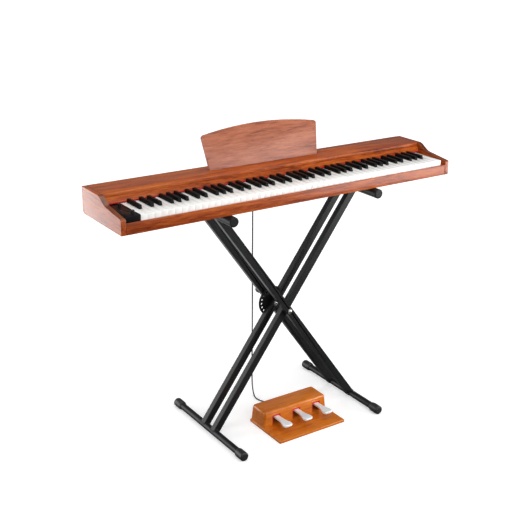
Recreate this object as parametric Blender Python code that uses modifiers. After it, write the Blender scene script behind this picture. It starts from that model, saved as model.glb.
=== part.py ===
"""Slab digital piano on a folding double X stand, with a three-pedal unit.

Metres, +Z up. X runs along the keyboard, +Y points to the rear, z = 0 is the floor.
y = 0 is the middle of the stand's feet, x = 0 the middle of the piano.
"""
import math

import bmesh
import bpy
from mathutils import Matrix, Vector

# ---------------------------------------------------------------- driving dimensions
GAP = 0.0003                 # between touching pieces

PIANO_LENGTH = 1.327
PIANO_DEPTH = 0.2756
PIANO_HEIGHT = 0.0896
PIANO_FRONT = -0.1505        # y of the front face
UNDERSIDE = 0.8585           # z of the piano's bottom
CHEEK = 0.0176
BOARD = 0.012                # top panel and fallboard
PANEL = 0.006                # bottom panel
BACK = 0.008                 # back panel
RAIL_HEIGHT = 0.0371
RAIL_LIP = 0.0055
TOP_FRONT = 0.1535           # front edge of the top panel, from the piano's front
FALL_FRONT = 0.1425           # of the foot of the fallboard, which leans back to TOP_FRONT

WHITE_PITCH = 0.0235
WHITE_COUNT = 52
KEYS_CENTRE = 0.0174
KEY_TOP = 0.056              # white key surface above the underside
KEY_BODY = 0.020
KEY_FRONT = 0.0062           # from the piano's front
KEY_PIVOT = 0.232
KEY_SLIT = 0.0008
BLACK_FRONT = 0.056
BLACK_BACK = 0.1398
BLACK_RISE = 0.0115
BLACK_WIDTH = 0.0120
NOTCH = 0.0138

REST_WIDTH = 0.4495
REST_HEIGHT = 0.112          # of the side corners above the top panel
REST_CROWN = 0.0215
REST_FLARE = 0.0137
REST_CORNER = 0.008          # radius of the two upper corners
REST_THICK = 0.009
REST_LEAN = math.radians(15.5)
REST_Y = 0.2213
REST_SEAT = 0.007

STAND_X = 0.0189
LEG_ANGLE = math.radians(35.87)
LEG_WIDTH = 0.0265
LEG_DEPTH = 0.022
LEG_WALL = 0.0015
INNER_SPACING = 0.0655       # between the two legs of frame b
FOOT_LENGTH = 0.4725
FOOT_RADIUS = 0.0125
CAP_RADIUS = 0.0165
CAP_LENGTH = 0.046
ARM_FRONT = -0.1713
ARM_BACK = 0.150
SLEEVE_RADIUS = 0.017
DISC_RADIUS = 0.057
DISC_THICK = 0.004
DISC_HOLES = 7
HOLE_CIRCLE = 0.046
HOLE_STEP = math.radians(18.5)
BOLT_RADIUS = 0.004

PEDAL_X = 0.0315
PLATE_SIZE = (0.2895, 0.1965, 0.0093)
PLATE_FRONT = -0.208
HOUSING_SIZE = (0.267, 0.0865, 0.0584)
HOUSING_FRONT = -0.0985
HOUSING_WALL = 0.006
HOUSING_FLARE = 0.009        # how far each end leans out from the top to the foot
PEDAL_PITCH = 0.0893
PEDAL_OFFSET = 0.004         # of the middle pedal from the middle of the unit
PEDAL_TOP = 0.0445
PEDAL_THICK = 0.008
PEDAL_TIP = -0.1805
PEDAL_PIVOT = -0.032
SLOT_WIDTH = 0.036
SLOT_TOP = 0.0495

CORD_RADIUS = 0.0025
PLUG_LENGTH = 0.028
JACK_X = 0.0155
JACK_Z = UNDERSIDE + 0.034

# ---------------------------------------------------------------- scene and helpers
for old in list(bpy.data.objects):
    bpy.data.objects.remove(old, do_unlink=True)

PARTS = bpy.data.collections.new("digital_piano_on_stand")
CUTTERS = bpy.data.collections.new("cutters")
for group in (PARTS, CUTTERS):
    bpy.context.scene.collection.children.link(group)


def material(name, colour, roughness, metallic=0.0):
    made = bpy.data.materials.new(name)
    made.use_nodes = True
    shader = made.node_tree.nodes["Principled BSDF"]
    shader.inputs["Base Color"].default_value = (*colour, 1.0)
    shader.inputs["Roughness"].default_value = roughness
    shader.inputs["Metallic"].default_value = metallic
    return made


WOOD = material("brown_wood", (0.36, 0.11, 0.035), 0.45)
PEDAL_WOOD = material("orange_wood", (0.48, 0.17, 0.04), 0.4)
BLACK = material("black_plastic", (0.012, 0.012, 0.013), 0.3)
BOARD_DARK = material("dark_board", (0.03, 0.03, 0.03), 0.7)
WHITE = material("white_plastic", (0.82, 0.82, 0.79), 0.25)
FELT = material("red_felt", (0.5, 0.01, 0.02), 0.95)
STEEL = material("black_steel", (0.035, 0.036, 0.038), 0.4, 0.3)
RUBBER = material("black_rubber", (0.02, 0.021, 0.022), 0.75)
BRIGHT = material("bright_steel", (0.7, 0.7, 0.7), 0.25, 1.0)
CORD = material("grey_cord", (0.05, 0.05, 0.055), 0.6)
GREEN = material("green_board", (0.02, 0.12, 0.05), 0.5)


def adopt(thing, name, finish=None, cutter=False):
    """Name an object, give it its material and put it in its collection."""
    thing.name = name
    thing.data.name = name
    for home in list(thing.users_collection):
        home.objects.unlink(thing)
    (CUTTERS if cutter else PARTS).objects.link(thing)
    if cutter:
        thing.hide_render = True
        thing.display_type = "WIRE"
    if finish:
        thing.data.materials.clear()
        thing.data.materials.append(finish)
    return thing


def apply_scale(thing):
    thing.data.transform(Matrix.Diagonal((*thing.scale, 1.0)))
    thing.scale = (1.0, 1.0, 1.0)


def box(name, low, high, finish=None, cutter=False, turn=(0.0, 0.0, 0.0)):
    """A box between two corners, turned about its own middle."""
    low, high = Vector(low), Vector(high)
    bpy.ops.mesh.primitive_cube_add(size=1.0, location=(low + high) / 2, rotation=turn)
    made = bpy.context.object
    made.scale = high - low
    apply_scale(made)
    return adopt(made, name, finish, cutter)


def rod(name, radius, start, end, finish=None, cutter=False, sides=24):
    """A round bar or cutter between two points."""
    start, end = Vector(start), Vector(end)
    along = end - start
    bpy.ops.mesh.primitive_cylinder_add(vertices=sides, radius=radius, depth=along.length,
                                        location=(start + end) / 2)
    made = bpy.context.object
    made.rotation_euler = along.to_track_quat("Z", "Y").to_euler()
    return adopt(made, name, finish, cutter)


def bevel(thing, width, segments=2, angle=math.radians(40)):
    extra = thing.modifiers.new("soft edges", "BEVEL")
    extra.width = width
    extra.segments = segments
    extra.limit_method = "ANGLE"
    extra.angle_limit = angle
    return thing


def boolean(thing, tool, operation="DIFFERENCE"):
    extra = thing.modifiers.new(operation.lower(), "BOOLEAN")
    extra.operation = operation
    extra.solver = "EXACT"
    extra.object = tool
    return thing


def shade_round(thing):
    thing.data.shade_smooth()
    thing.data.set_sharp_from_angle(angle=math.radians(35))
    return thing


def flat_outline(name, points, thickness, finish, matrix):
    """A filled 2D outline, given its thickness and made a welded mesh."""
    curve = bpy.data.curves.new(name, "CURVE")
    curve.dimensions = "2D"
    curve.fill_mode = "BOTH"
    curve.extrude = thickness / 2
    spline = curve.splines.new("POLY")
    spline.points.add(len(points) - 1)
    for spot, (u, v) in zip(spline.points, points):
        spot.co = (u, v, 0.0, 1.0)
    spline.use_cyclic_u = True
    guide = bpy.data.objects.new(name + "_outline", curve)
    CUTTERS.objects.link(guide)
    guide.matrix_world = matrix
    bpy.context.view_layer.update()
    mesh = bpy.data.meshes.new_from_object(guide.evaluated_get(bpy.context.evaluated_depsgraph_get()))
    shell = bmesh.new()
    shell.from_mesh(mesh)
    bmesh.ops.remove_doubles(shell, verts=shell.verts, dist=0.00001)
    bmesh.ops.recalc_face_normals(shell, faces=shell.faces)
    shell.to_mesh(mesh)
    shell.free()
    made = bpy.data.objects.new(name, mesh)
    PARTS.objects.link(made)
    made.matrix_world = matrix
    bpy.data.objects.remove(guide, do_unlink=True)
    return adopt(made, name, finish)


def side_view(x, y=0.0, z=0.0):
    """Places an outline's (u, v) in the (Y, Z) plane, with its thickness along X."""
    return Matrix.Translation((x, y, z)) @ Matrix(((0, 0, 1, 0), (1, 0, 0, 0), (0, 1, 0, 0), (0, 0, 0, 1)))


def turned(name, profile, finish, place, axis, sides=24):
    """A profile of (radius, height) turned about a line through place.

    The profile runs up its inside and down its outside.
    """
    mesh = bpy.data.meshes.new(name)
    mesh.from_pydata([(r, 0.0, h) for r, h in profile], [(i, i + 1) for i in range(len(profile) - 1)], [])
    made = bpy.data.objects.new(name, mesh)
    PARTS.objects.link(made)
    spin = made.modifiers.new("turn", "SCREW")
    spin.steps = sides
    spin.render_steps = sides
    spin.use_merge_vertices = True
    spin.merge_threshold = 0.00005
    made.location = place
    made.rotation_euler = Vector(axis).to_track_quat("Z", "Y").to_euler()
    return adopt(made, name, finish)


def tube(name, radius, wall, start, end, finish, sides=24):
    """An open pipe: an open cylinder with Solidify."""
    start, end = Vector(start), Vector(end)
    along = end - start
    bpy.ops.mesh.primitive_cylinder_add(vertices=sides, radius=radius, depth=along.length,
                                        end_fill_type="NOTHING", location=(start + end) / 2)
    made = bpy.context.object
    made.rotation_euler = along.to_track_quat("Z", "Y").to_euler()
    adopt(made, name, finish)
    skin = made.modifiers.new("wall", "SOLIDIFY")
    skin.thickness = wall
    skin.offset = -1.0
    skin.use_even_offset = True
    return shade_round(made)


def piano_y(depth):
    return PIANO_FRONT + depth


def piano_z(height):
    return UNDERSIDE + height


# ---------------------------------------------------------------- piano case
INNER = PIANO_LENGTH / 2 - CHEEK - GAP


def cheek_outline():
    """Side outline: a level rear, an S-shaped step and a slope down to the round nose."""
    points = [(0.0, 0.0), (PIANO_DEPTH - 0.012, 0.0)]
    points += [(PIANO_DEPTH - 0.012 + 0.012 * math.sin(a), 0.012 - 0.012 * math.cos(a))
               for a in (math.radians(30 * k) for k in (1, 2, 3))]
    points += [(PIANO_DEPTH, PIANO_HEIGHT), (0.158, PIANO_HEIGHT)]
    step_top, step_foot = (0.158, PIANO_HEIGHT), (0.1, 0.0642)
    for k in range(1, 9):
        t = k / 8
        ease = t * t * (3 - 2 * t)
        points.append((step_top[0] + (step_foot[0] - step_top[0]) * t,
                       step_top[1] + (step_foot[1] - step_top[1]) * ease))
    points.append((0.006, 0.0525))
    points += [(0.006 - 0.006 * math.sin(a), 0.0465 + 0.006 * math.cos(a))
               for a in (math.radians(30 * k) for k in (1, 2, 3))]
    return points


for side, sign in (("left", -1), ("right", 1)):
    middle = sign * (PIANO_LENGTH / 2 - CHEEK / 2)
    flat_outline("cheek_" + side, cheek_outline(), CHEEK, WOOD, side_view(middle, PIANO_FRONT, UNDERSIDE))

top_panel = box("top_panel", (-INNER, piano_y(TOP_FRONT), piano_z(PIANO_HEIGHT - BOARD)),
                (INNER, piano_y(PIANO_DEPTH), piano_z(PIANO_HEIGHT)), WOOD)
groove_half = REST_THICK / 2 / math.cos(REST_LEAN) + 0.0025
groove_y = piano_y(REST_Y) + REST_THICK / 2
groove = box("rest_groove", (-REST_WIDTH / 2 - 0.001, groove_y - groove_half, piano_z(PIANO_HEIGHT - 0.009)),
             (REST_WIDTH / 2 + 0.001, groove_y + groove_half, piano_z(PIANO_HEIGHT + 0.01)), cutter=True)
boolean(top_panel, groove)

fall_foot, fall_top = 0.0585, PIANO_HEIGHT - BOARD - GAP
fall_outline = [(FALL_FRONT, fall_foot), (FALL_FRONT + BOARD, fall_foot), (TOP_FRONT + BOARD, fall_top),
                (TOP_FRONT, fall_top)]
flat_outline("fallboard", fall_outline, 2 * INNER, WOOD, side_view(0.0, PIANO_FRONT, UNDERSIDE))
box("key_felt", (-INNER, piano_y(FALL_FRONT - 0.002), piano_z(fall_foot)),
    (INNER, piano_y(FALL_FRONT - GAP), piano_z(fall_foot + 0.003)), FELT)

rail_outline = [(0.0, 0.0), (BOARD, 0.0), (BOARD, 0.022), (RAIL_LIP, 0.022), (RAIL_LIP, RAIL_HEIGHT),
                (0.0, RAIL_HEIGHT)]
flat_outline("front_rail", rail_outline, 2 * INNER, WOOD, side_view(0.0, PIANO_FRONT, UNDERSIDE))

bottom_panel = box("bottom_panel", (-INNER, piano_y(BOARD + GAP), UNDERSIDE),
                   (INNER, piano_y(PIANO_DEPTH - 0.003), piano_z(PANEL)), BOARD_DARK)

back_panel = box("back_panel", (-INNER, piano_y(PIANO_DEPTH - BACK), piano_z(PANEL + GAP)),
                 (INNER, piano_y(PIANO_DEPTH - 0.0005), piano_z(PIANO_HEIGHT - BOARD - GAP)), BOARD_DARK)
for number, shift in enumerate((0.0, 0.022, 0.042, -0.026)):
    socket = rod(f"socket_{number}", 0.0033, (JACK_X + shift, piano_y(PIANO_DEPTH - 0.006), JACK_Z),
                 (JACK_X + shift, piano_y(PIANO_DEPTH + 0.01), JACK_Z), cutter=True, sides=16)
    boolean(back_panel, socket)

SPEAKER_RADIUS = 0.028
for side, sign in (("left", -1), ("right", 1)):
    centre = (sign * 0.5, piano_y(PIANO_DEPTH - BACK), piano_z(0.041))
    port = rod("port_" + side, SPEAKER_RADIUS - 0.004, Vector(centre) - Vector((0, 0.02, 0)),
               Vector(centre) + Vector((0, 0.02, 0)), cutter=True, sides=20)
    boolean(back_panel, port)
    speaker_profile = [(0.0, -0.008), (0.010, -0.009), (0.022, -GAP - 0.001), (0.0235, -GAP),
                       (SPEAKER_RADIUS, -GAP), (SPEAKER_RADIUS, -0.003), (0.016, -0.013), (0.016, -0.024),
                       (0.0, -0.024)]
    shade_round(turned("speaker_" + side, speaker_profile, BLACK, centre, (0, 1, 0), sides=20))

key_bed = [(0.03, 0.010), (KEY_PIVOT + 0.004, 0.010), (KEY_PIVOT + 0.004, 0.0335),
           (KEY_PIVOT - 0.010, 0.0335), (KEY_PIVOT - 0.010, 0.014), (0.03, 0.014)]
flat_outline("key_frame", key_bed, 2 * INNER - 0.02, BOARD_DARK, side_view(0.0, PIANO_FRONT, UNDERSIDE))
box("main_board", (-0.14, piano_y(0.172), piano_z(0.0655)), (0.14, piano_y(0.226), piano_z(0.0671)), GREEN)

# ---------------------------------------------------------------- end blocks and controls
keys_left = KEYS_CENTRE - WHITE_COUNT * WHITE_PITCH / 2
keys_right = KEYS_CENTRE + WHITE_COUNT * WHITE_PITCH / 2
BLOCK_FOOT = 0.023
FILLER_TOP = 0.034           # the filler right of the keys stays below the rail
control_panel = box("control_panel", (-INNER, piano_y(RAIL_LIP + GAP), piano_z(BLOCK_FOOT)),
                    (keys_left - 0.0008, piano_y(TOP_FRONT - 0.0026), piano_z(KEY_TOP)), BLACK)
box("right_key_block", (keys_right + 0.0008, piano_y(RAIL_LIP + GAP), piano_z(BLOCK_FOOT)),
    (INNER, piano_y(TOP_FRONT - 0.0026), piano_z(FILLER_TOP)), WOOD)

KNOB_PLACES = {"volume_knob": (-0.6083, 0.032, 0.0065), "tone_knob": (-0.6115, 0.114, 0.005)}
for name, (x, depth, radius) in KNOB_PLACES.items():
    foot = piano_z(KEY_TOP)
    shaft_hole = rod(name + "_bore", 0.0025, (x, piano_y(depth), foot - 0.006),
                     (x, piano_y(depth), foot + 0.01), cutter=True, sides=12)
    boolean(control_panel, shaft_hole)
    knob = [(0.0, 0.009), (radius - 0.001, 0.009), (radius, 0.008), (radius, GAP), (0.0022, GAP),
            (0.0022, -0.005), (0.0, -0.005)]
    shade_round(turned(name, knob, BLACK, (x, piano_y(depth), foot), (0, 0, 1), sides=16))

BUTTON_X, BUTTON_DEPTH = -0.628, 0.070
pocket = rod("power_pocket", 0.0045, (BUTTON_X, piano_y(BUTTON_DEPTH), piano_z(KEY_TOP - 0.006)),
             (BUTTON_X, piano_y(BUTTON_DEPTH), piano_z(KEY_TOP + 0.01)), cutter=True, sides=16)
boolean(control_panel, pocket)
shade_round(rod("power_button", 0.0041, (BUTTON_X, piano_y(BUTTON_DEPTH), piano_z(KEY_TOP - 0.0035)),
                (BUTTON_X, piano_y(BUTTON_DEPTH), piano_z(KEY_TOP + 0.0015)), BLACK, sides=16))

# ---------------------------------------------------------------- keys
# White keys are counted from the lowest A; letters say where the black keys stand.
LETTERS = "ABCDEFG"
BLACK_SHIFT = {"C": -0.00235, "D": 0.00235, "F": -0.00336, "G": 0.0, "A": 0.00336}
BANKS = [(0, 9), (9, 16), (16, 23), (23, 30), (30, 37), (37, 44), (44, 52)]


def black_centre(index):
    """x of the black key to the right of a white key, or None where there isn't one."""
    letter = LETTERS[index % 7]
    if letter not in BLACK_SHIFT or index >= WHITE_COUNT - 1:
        return None
    return keys_left + (index + 1) * WHITE_PITCH + BLACK_SHIFT[letter]


def white_outline(first, last):
    """Plan of a bank of white keys: slits between keys, notches for the blacks, one rear strip.

    A bank starts and ends where two white keys have no black key between them.
    """
    strip, shoulder = KEY_PIVOT - 0.014, BLACK_FRONT - 0.001
    points = [(keys_left + first * WHITE_PITCH + KEY_SLIT / 2, y) for y in (KEY_PIVOT, KEY_FRONT)]
    for index in range(first, last - 1):
        edge = keys_left + (index + 1) * WHITE_PITCH
        left, right = edge - KEY_SLIT / 2, edge + KEY_SLIT / 2
        centre = black_centre(index)
        points.append((left, KEY_FRONT))
        if centre:
            points += [(left, shoulder), (centre - NOTCH / 2, shoulder), (centre - NOTCH / 2, strip),
                       (centre + NOTCH / 2, strip), (centre + NOTCH / 2, shoulder), (right, shoulder)]
        else:
            points += [(left, strip), (right, strip)]
        points.append((right, KEY_FRONT))
    return points + [(keys_left + last * WHITE_PITCH - KEY_SLIT / 2, y) for y in (KEY_FRONT, KEY_PIVOT)]


def at_pivot(thing, place):
    """Moves an object's origin to its joint without moving the shape."""
    bpy.context.view_layer.update()
    shift = Vector(place) - thing.matrix_world.translation
    thing.data.transform(Matrix.Translation(-(thing.matrix_world.to_3x3().inverted() @ shift)))
    thing.matrix_world.translation = Vector(place)
    return thing


BLACK_SIDE = [(BLACK_FRONT + 0.0012, KEY_TOP - 0.0005), (BLACK_FRONT + 0.0045, KEY_TOP + BLACK_RISE - 0.0015),
              (BLACK_FRONT + 0.0075, KEY_TOP + BLACK_RISE), (BLACK_BACK, KEY_TOP + BLACK_RISE),
              (BLACK_BACK, KEY_TOP), (KEY_PIVOT - 0.0155, KEY_TOP), (KEY_PIVOT - 0.0155, 0.024),
              (KEY_PIVOT - 0.03, 0.024), (KEY_PIVOT - 0.03, KEY_TOP - KEY_BODY),
              (BLACK_FRONT + 0.0012, KEY_TOP - KEY_BODY)]

for number, (first, last) in enumerate(BANKS, start=1):
    plan = Matrix.Translation((0.0, PIANO_FRONT, piano_z(KEY_TOP - KEY_BODY / 2)))
    whites = flat_outline(f"white_keys_{number}", white_outline(first, last), KEY_BODY, WHITE, plan)
    middle = keys_left + (first + last) / 2 * WHITE_PITCH
    at_pivot(whites, (middle, piano_y(KEY_PIVOT), piano_z(KEY_TOP - KEY_BODY / 2)))

    centres = [black_centre(index) for index in range(first, last) if black_centre(index)]
    joiner = box(f"black_keys_{number}",
                 (centres[0] - BLACK_WIDTH / 2, piano_y(KEY_PIVOT - 0.029), piano_z(0.0245)),
                 (centres[-1] + BLACK_WIDTH / 2, piano_y(KEY_PIVOT - 0.0165), piano_z(0.0335)), BLACK)
    for order, centre in enumerate(centres):
        stick = flat_outline(f"black_stick_{number}_{order}", BLACK_SIDE, BLACK_WIDTH, BLACK,
                             side_view(centre, PIANO_FRONT, UNDERSIDE))
        adopt(stick, stick.name, cutter=True)
        boolean(joiner, stick, "UNION")
    at_pivot(joiner, (middle, piano_y(KEY_PIVOT), piano_z(KEY_TOP - KEY_BODY / 2)))

# ---------------------------------------------------------------- music rest
half, arc_steps = REST_WIDTH / 2, 14
corner = half + REST_FLARE
rounded = corner - REST_CORNER
turn_points = [(rounded + REST_CORNER * math.cos(a), REST_HEIGHT + REST_CORNER * (math.sin(a) - 1))
               for a in (math.radians(22 * k) for k in range(4))]
crown_points = []
for step in range(arc_steps + 1):
    t = 1 - 2 * step / arc_steps
    crown_points.append((t * rounded, REST_HEIGHT + REST_CROWN * (1 - (t * rounded / corner) ** 2)))
rest_points = [(-half, -REST_SEAT), (half, -REST_SEAT), (half, 0.0)] + turn_points + crown_points
rest_points += [(-u, v) for u, v in reversed(turn_points)] + [(-half, 0.0)]
stretch = 1 / math.cos(REST_LEAN)
rest_points = [(u, v * stretch) for u, v in rest_points]
rest_foot = Matrix.Translation((0.0, groove_y, piano_z(PIANO_HEIGHT)))
lean = Matrix.Rotation(math.pi / 2 - REST_LEAN, 4, "X")
flat_outline("music_rest", rest_points, REST_THICK, WOOD, rest_foot @ lean)

# ---------------------------------------------------------------- folding stand
FOOT_Z = CAP_RADIUS
ARM_Z = UNDERSIDE - GAP - SLEEVE_RADIUS
PIVOT_Z = (FOOT_Z + ARM_Z) / 2
LEG_REACH = (ARM_Z - FOOT_Z) / 2
SPREAD = LEG_REACH * math.tan(LEG_ANGLE)
LEG_HALF = LEG_REACH / math.cos(LEG_ANGLE)
PIVOT = Vector((STAND_X, 0.0, PIVOT_Z))

inner_y = INNER_SPACING / 2
LEGS = {"b_front": (1, -inner_y), "b_rear": (1, inner_y),
        "a_front": (-1, -inner_y - LEG_DEPTH - 0.0015),
        "a_rear": (-1, inner_y + LEG_DEPTH + DISC_THICK + 0.0015)}
disc_y = inner_y + LEG_DEPTH / 2 + GAP
PIN_DIRECTION = Vector((-math.sin(LEG_ANGLE), 0.0, math.cos(LEG_ANGLE)))
pin_at = PIVOT + HOLE_CIRCLE * PIN_DIRECTION


def leg(name, way, y):
    """A square steel tube from foot to arm, coped to both and bored for the pivot bolt."""
    bpy.ops.mesh.primitive_cube_add(size=1.0, location=(STAND_X, y, PIVOT_Z))
    made = bpy.context.object
    made.scale = (LEG_WIDTH, LEG_DEPTH, 2 * LEG_HALF)
    apply_scale(made)
    shell = bmesh.new()
    shell.from_mesh(made.data)
    ends = [face for face in shell.faces if abs(face.normal.z) > 0.9]
    bmesh.ops.delete(shell, geom=ends, context="FACES_ONLY")
    shell.to_mesh(made.data)
    shell.free()
    made.rotation_euler = (0.0, way * LEG_ANGLE, 0.0)
    adopt(made, name, STEEL)
    wall = made.modifiers.new("wall", "SOLIDIFY")
    wall.thickness = LEG_WALL
    wall.offset = -1.0
    wall.use_even_offset = True
    for end, height in ((-1, FOOT_Z), (1, ARM_Z)):
        x = STAND_X + way * end * SPREAD
        cope = rod(f"{name}_cope_{end + 1}", FOOT_RADIUS + GAP, (x, y - 0.03, height), (x, y + 0.03, height),
                   cutter=True)
        boolean(made, cope)
    bore = rod(name + "_bore", BOLT_RADIUS + GAP, (STAND_X, y - 0.02, PIVOT_Z), (STAND_X, y + 0.02, PIVOT_Z),
               cutter=True, sides=16)
    boolean(made, bore)
    return made


for tag, (way, y) in LEGS.items():
    made = leg("leg_" + tag, way, y)
    if tag == "a_rear":
        pin_bore = rod("pin_bore", 0.0035, (pin_at.x, y - 0.02, pin_at.z), (pin_at.x, y + 0.02, pin_at.z),
                       cutter=True, sides=16)
        boolean(made, pin_bore)

cup_bore = FOOT_RADIUS + GAP
cap_profile = [(0.0, 0.007), (cup_bore, 0.007), (cup_bore, CAP_LENGTH), (CAP_RADIUS - 0.001, CAP_LENGTH),
               (CAP_RADIUS, CAP_LENGTH - 0.001), (CAP_RADIUS, 0.003), (CAP_RADIUS - 0.003, 0.0), (0.0, 0.0)]
for tag, way in (("a", 1), ("b", -1)):
    x = STAND_X + way * SPREAD
    reach = FOOT_LENGTH / 2
    tube("foot_" + tag, FOOT_RADIUS, 0.0015, (x, -reach + 0.0073, FOOT_Z), (x, reach - 0.0073, FOOT_Z), STEEL)
    for end, sign in (("front", -1), ("rear", 1)):
        shade_round(turned(f"foot_cap_{tag}_{end}", cap_profile, RUBBER, (x, sign * reach, FOOT_Z),
                           (0, -sign, 0), sides=20))

for tag, way in (("a", -1), ("b", 1)):
    x = STAND_X + way * SPREAD
    tube("arm_" + tag, FOOT_RADIUS, 0.0015, (x, ARM_FRONT + 0.0043, ARM_Z), (x, ARM_BACK - 0.002, ARM_Z),
         STEEL)
    length = ARM_BACK - ARM_FRONT
    sleeve_profile = [(0.0, 0.004), (cup_bore, 0.004), (cup_bore, length), (SLEEVE_RADIUS, length),
                      (SLEEVE_RADIUS, 0.002), (SLEEVE_RADIUS - 0.002, 0.0), (0.0, 0.0)]
    sleeve = shade_round(turned("sleeve_" + tag, sleeve_profile, RUBBER, (x, ARM_FRONT, ARM_Z), (0, 1, 0),
                                sides=20))
    for name, (lean_way, y) in LEGS.items():
        if name.startswith(tag):
            down = Vector((-way * math.sin(LEG_ANGLE), 0.0, -math.cos(LEG_ANGLE)))
            middle = Vector((x, y, ARM_Z)) + 0.03 * down
            size = Vector((LEG_WIDTH + 0.002, LEG_DEPTH + 0.002, 0.06))
            notch = box("notch_" + name, middle - size / 2, middle + size / 2, cutter=True,
                        turn=(0.0, lean_way * LEG_ANGLE, 0.0))
            boolean(sleeve, notch)

lock_disc = rod("lock_disc", DISC_RADIUS, (STAND_X, disc_y, PIVOT_Z), (STAND_X, disc_y + DISC_THICK, PIVOT_Z),
                STEEL, sides=40)
for number in range(DISC_HOLES):
    angle = LEG_ANGLE + number * HOLE_STEP
    spot = PIVOT + HOLE_CIRCLE * Vector((-math.sin(angle), 0.0, math.cos(angle)))
    hole = rod(f"disc_hole_{number}", 0.0036, (spot.x, disc_y - 0.01, spot.z),
               (spot.x, disc_y + 0.02, spot.z), cutter=True, sides=12)
    boolean(lock_disc, hole)
centre_hole = rod("disc_bore", BOLT_RADIUS + GAP, (STAND_X, disc_y - 0.01, PIVOT_Z),
                  (STAND_X, disc_y + 0.02, PIVOT_Z), cutter=True, sides=16)
boolean(lock_disc, centre_hole)
trim_centre = PIVOT + (LEG_WIDTH / 2 + DISC_RADIUS) * Vector((math.cos(LEG_ANGLE), 0.0, -math.sin(LEG_ANGLE)))
trim_half = Vector((DISC_RADIUS, 0.1, 2 * DISC_RADIUS))
disc_trim = box("disc_trim", trim_centre - trim_half, trim_centre + trim_half, cutter=True,
                turn=(0.0, LEG_ANGLE, 0.0))
boolean(lock_disc, disc_trim)

a_front, a_rear = LEGS["a_front"][1], LEGS["a_rear"][1]
BOLTS = {"pivot_bolt_front": (a_front - LEG_DEPTH / 2, -inner_y + LEG_DEPTH / 2),
         "pivot_bolt_rear": (inner_y - LEG_DEPTH / 2, a_rear + LEG_DEPTH / 2)}
for name, (head_face, nut_face) in BOLTS.items():
    span = nut_face - head_face
    bolt = [(0.0, -0.0065), (0.005, -0.006), (0.0075, -0.004), (0.0075, -GAP), (BOLT_RADIUS, -GAP),
            (BOLT_RADIUS, span + GAP), (0.0065, span + GAP), (0.0065, span + 0.0055), (0.0, span + 0.0055)]
    bolt.reverse()
    shade_round(turned(name, bolt, BRIGHT, (STAND_X, head_face, PIVOT_Z), (0, 1, 0), sides=16))

knob_foot = a_rear + LEG_DEPTH / 2
pin_tip = disc_y + DISC_THICK + 0.0005
knob_profile = [(0.0, pin_tip - knob_foot), (0.003, pin_tip - knob_foot), (0.003, GAP), (0.009, GAP),
                (0.009, 0.008), (0.0125, 0.012), (0.014, 0.016), (0.014, 0.024), (0.0125, 0.026),
                (0.0, 0.026)]
knob_profile.reverse()
shade_round(turned("lock_knob", knob_profile, RUBBER, (pin_at.x, knob_foot, pin_at.z), (0, 1, 0), sides=16))

# ---------------------------------------------------------------- pedal unit
plate_low = (PEDAL_X - PLATE_SIZE[0] / 2, PLATE_FRONT, 0.0)
plate_high = (PEDAL_X + PLATE_SIZE[0] / 2, PLATE_FRONT + PLATE_SIZE[1], PLATE_SIZE[2])
bevel(box("pedal_base", plate_low, plate_high, PEDAL_WOOD), 0.002, segments=1)

housing_floor = PLATE_SIZE[2] + GAP
housing_low = Vector((PEDAL_X - HOUSING_SIZE[0] / 2, HOUSING_FRONT, housing_floor))
housing_high = housing_low + Vector(HOUSING_SIZE)
housing = box("pedal_housing", housing_low, housing_high, PEDAL_WOOD)
for corner in housing.data.vertices:
    if corner.co.z < 0:
        corner.co.x += math.copysign(HOUSING_FLARE, corner.co.x)
bevel(housing, 0.006, segments=3)
wall = Vector((HOUSING_WALL, HOUSING_WALL, 0.0))
hollow = box("housing_hollow", housing_low + wall - Vector((0, 0, 0.02)),
             housing_high - wall - Vector((0, 0, HOUSING_WALL)), cutter=True)
boolean(housing, hollow)

felt = box("pedal_felt", (PEDAL_X - 0.115, HOUSING_FRONT + HOUSING_WALL + GAP, housing_floor + 0.001),
           (PEDAL_X + 0.123, HOUSING_FRONT + HOUSING_WALL + 0.0025, housing_high.z - HOUSING_WALL - 0.002),
           FELT)
AXLE_RADIUS = 0.003
for number, name in enumerate(("soft", "sostenuto", "damper")):
    x = PEDAL_X + PEDAL_OFFSET + (number - 1) * PEDAL_PITCH
    slot = box(f"slot_{name}", (x - SLOT_WIDTH / 2, HOUSING_FRONT - 0.01, 0.0),
               (x + SLOT_WIDTH / 2, HOUSING_FRONT + HOUSING_WALL + 0.0001, SLOT_TOP), cutter=True)
    boolean(housing, slot)
    felt_slot = box(f"felt_slot_{name}", (x - 0.0145, HOUSING_FRONT - 0.01, -0.01),
                    (x + 0.0145, HOUSING_FRONT + 0.02, SLOT_TOP - 0.002), cutter=True)
    boolean(felt, felt_slot)

    root, waist, tip = 0.0118, 0.0098, 0.0205
    back, slot_y, broad = PEDAL_PIVOT + 0.008, HOUSING_FRONT, PEDAL_TIP + 0.018
    right = [(root, back), (root, slot_y), (waist + 0.002, slot_y - 0.02), (tip - 0.003, broad + 0.012),
             (tip, broad), (tip - 0.001, PEDAL_TIP + 0.009), (tip - 0.007, PEDAL_TIP + 0.001),
             (tip - 0.010, PEDAL_TIP)]
    outline = right + [(-u, v) for u, v in reversed(right)]
    height = PEDAL_TOP - PEDAL_THICK / 2
    pedal = flat_outline("pedal_" + name, outline, PEDAL_THICK, BRIGHT, Matrix.Translation((x, 0.0, height)))
    bevel(pedal, 0.002, segments=2)
    at_pivot(pedal, (x, PEDAL_PIVOT, height))
    pedal_bore = rod(f"pedal_bore_{name}", AXLE_RADIUS + GAP, (x - 0.03, PEDAL_PIVOT, height),
                     (x + 0.03, PEDAL_PIVOT, height), cutter=True, sides=12)
    boolean(pedal, pedal_bore)

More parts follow.
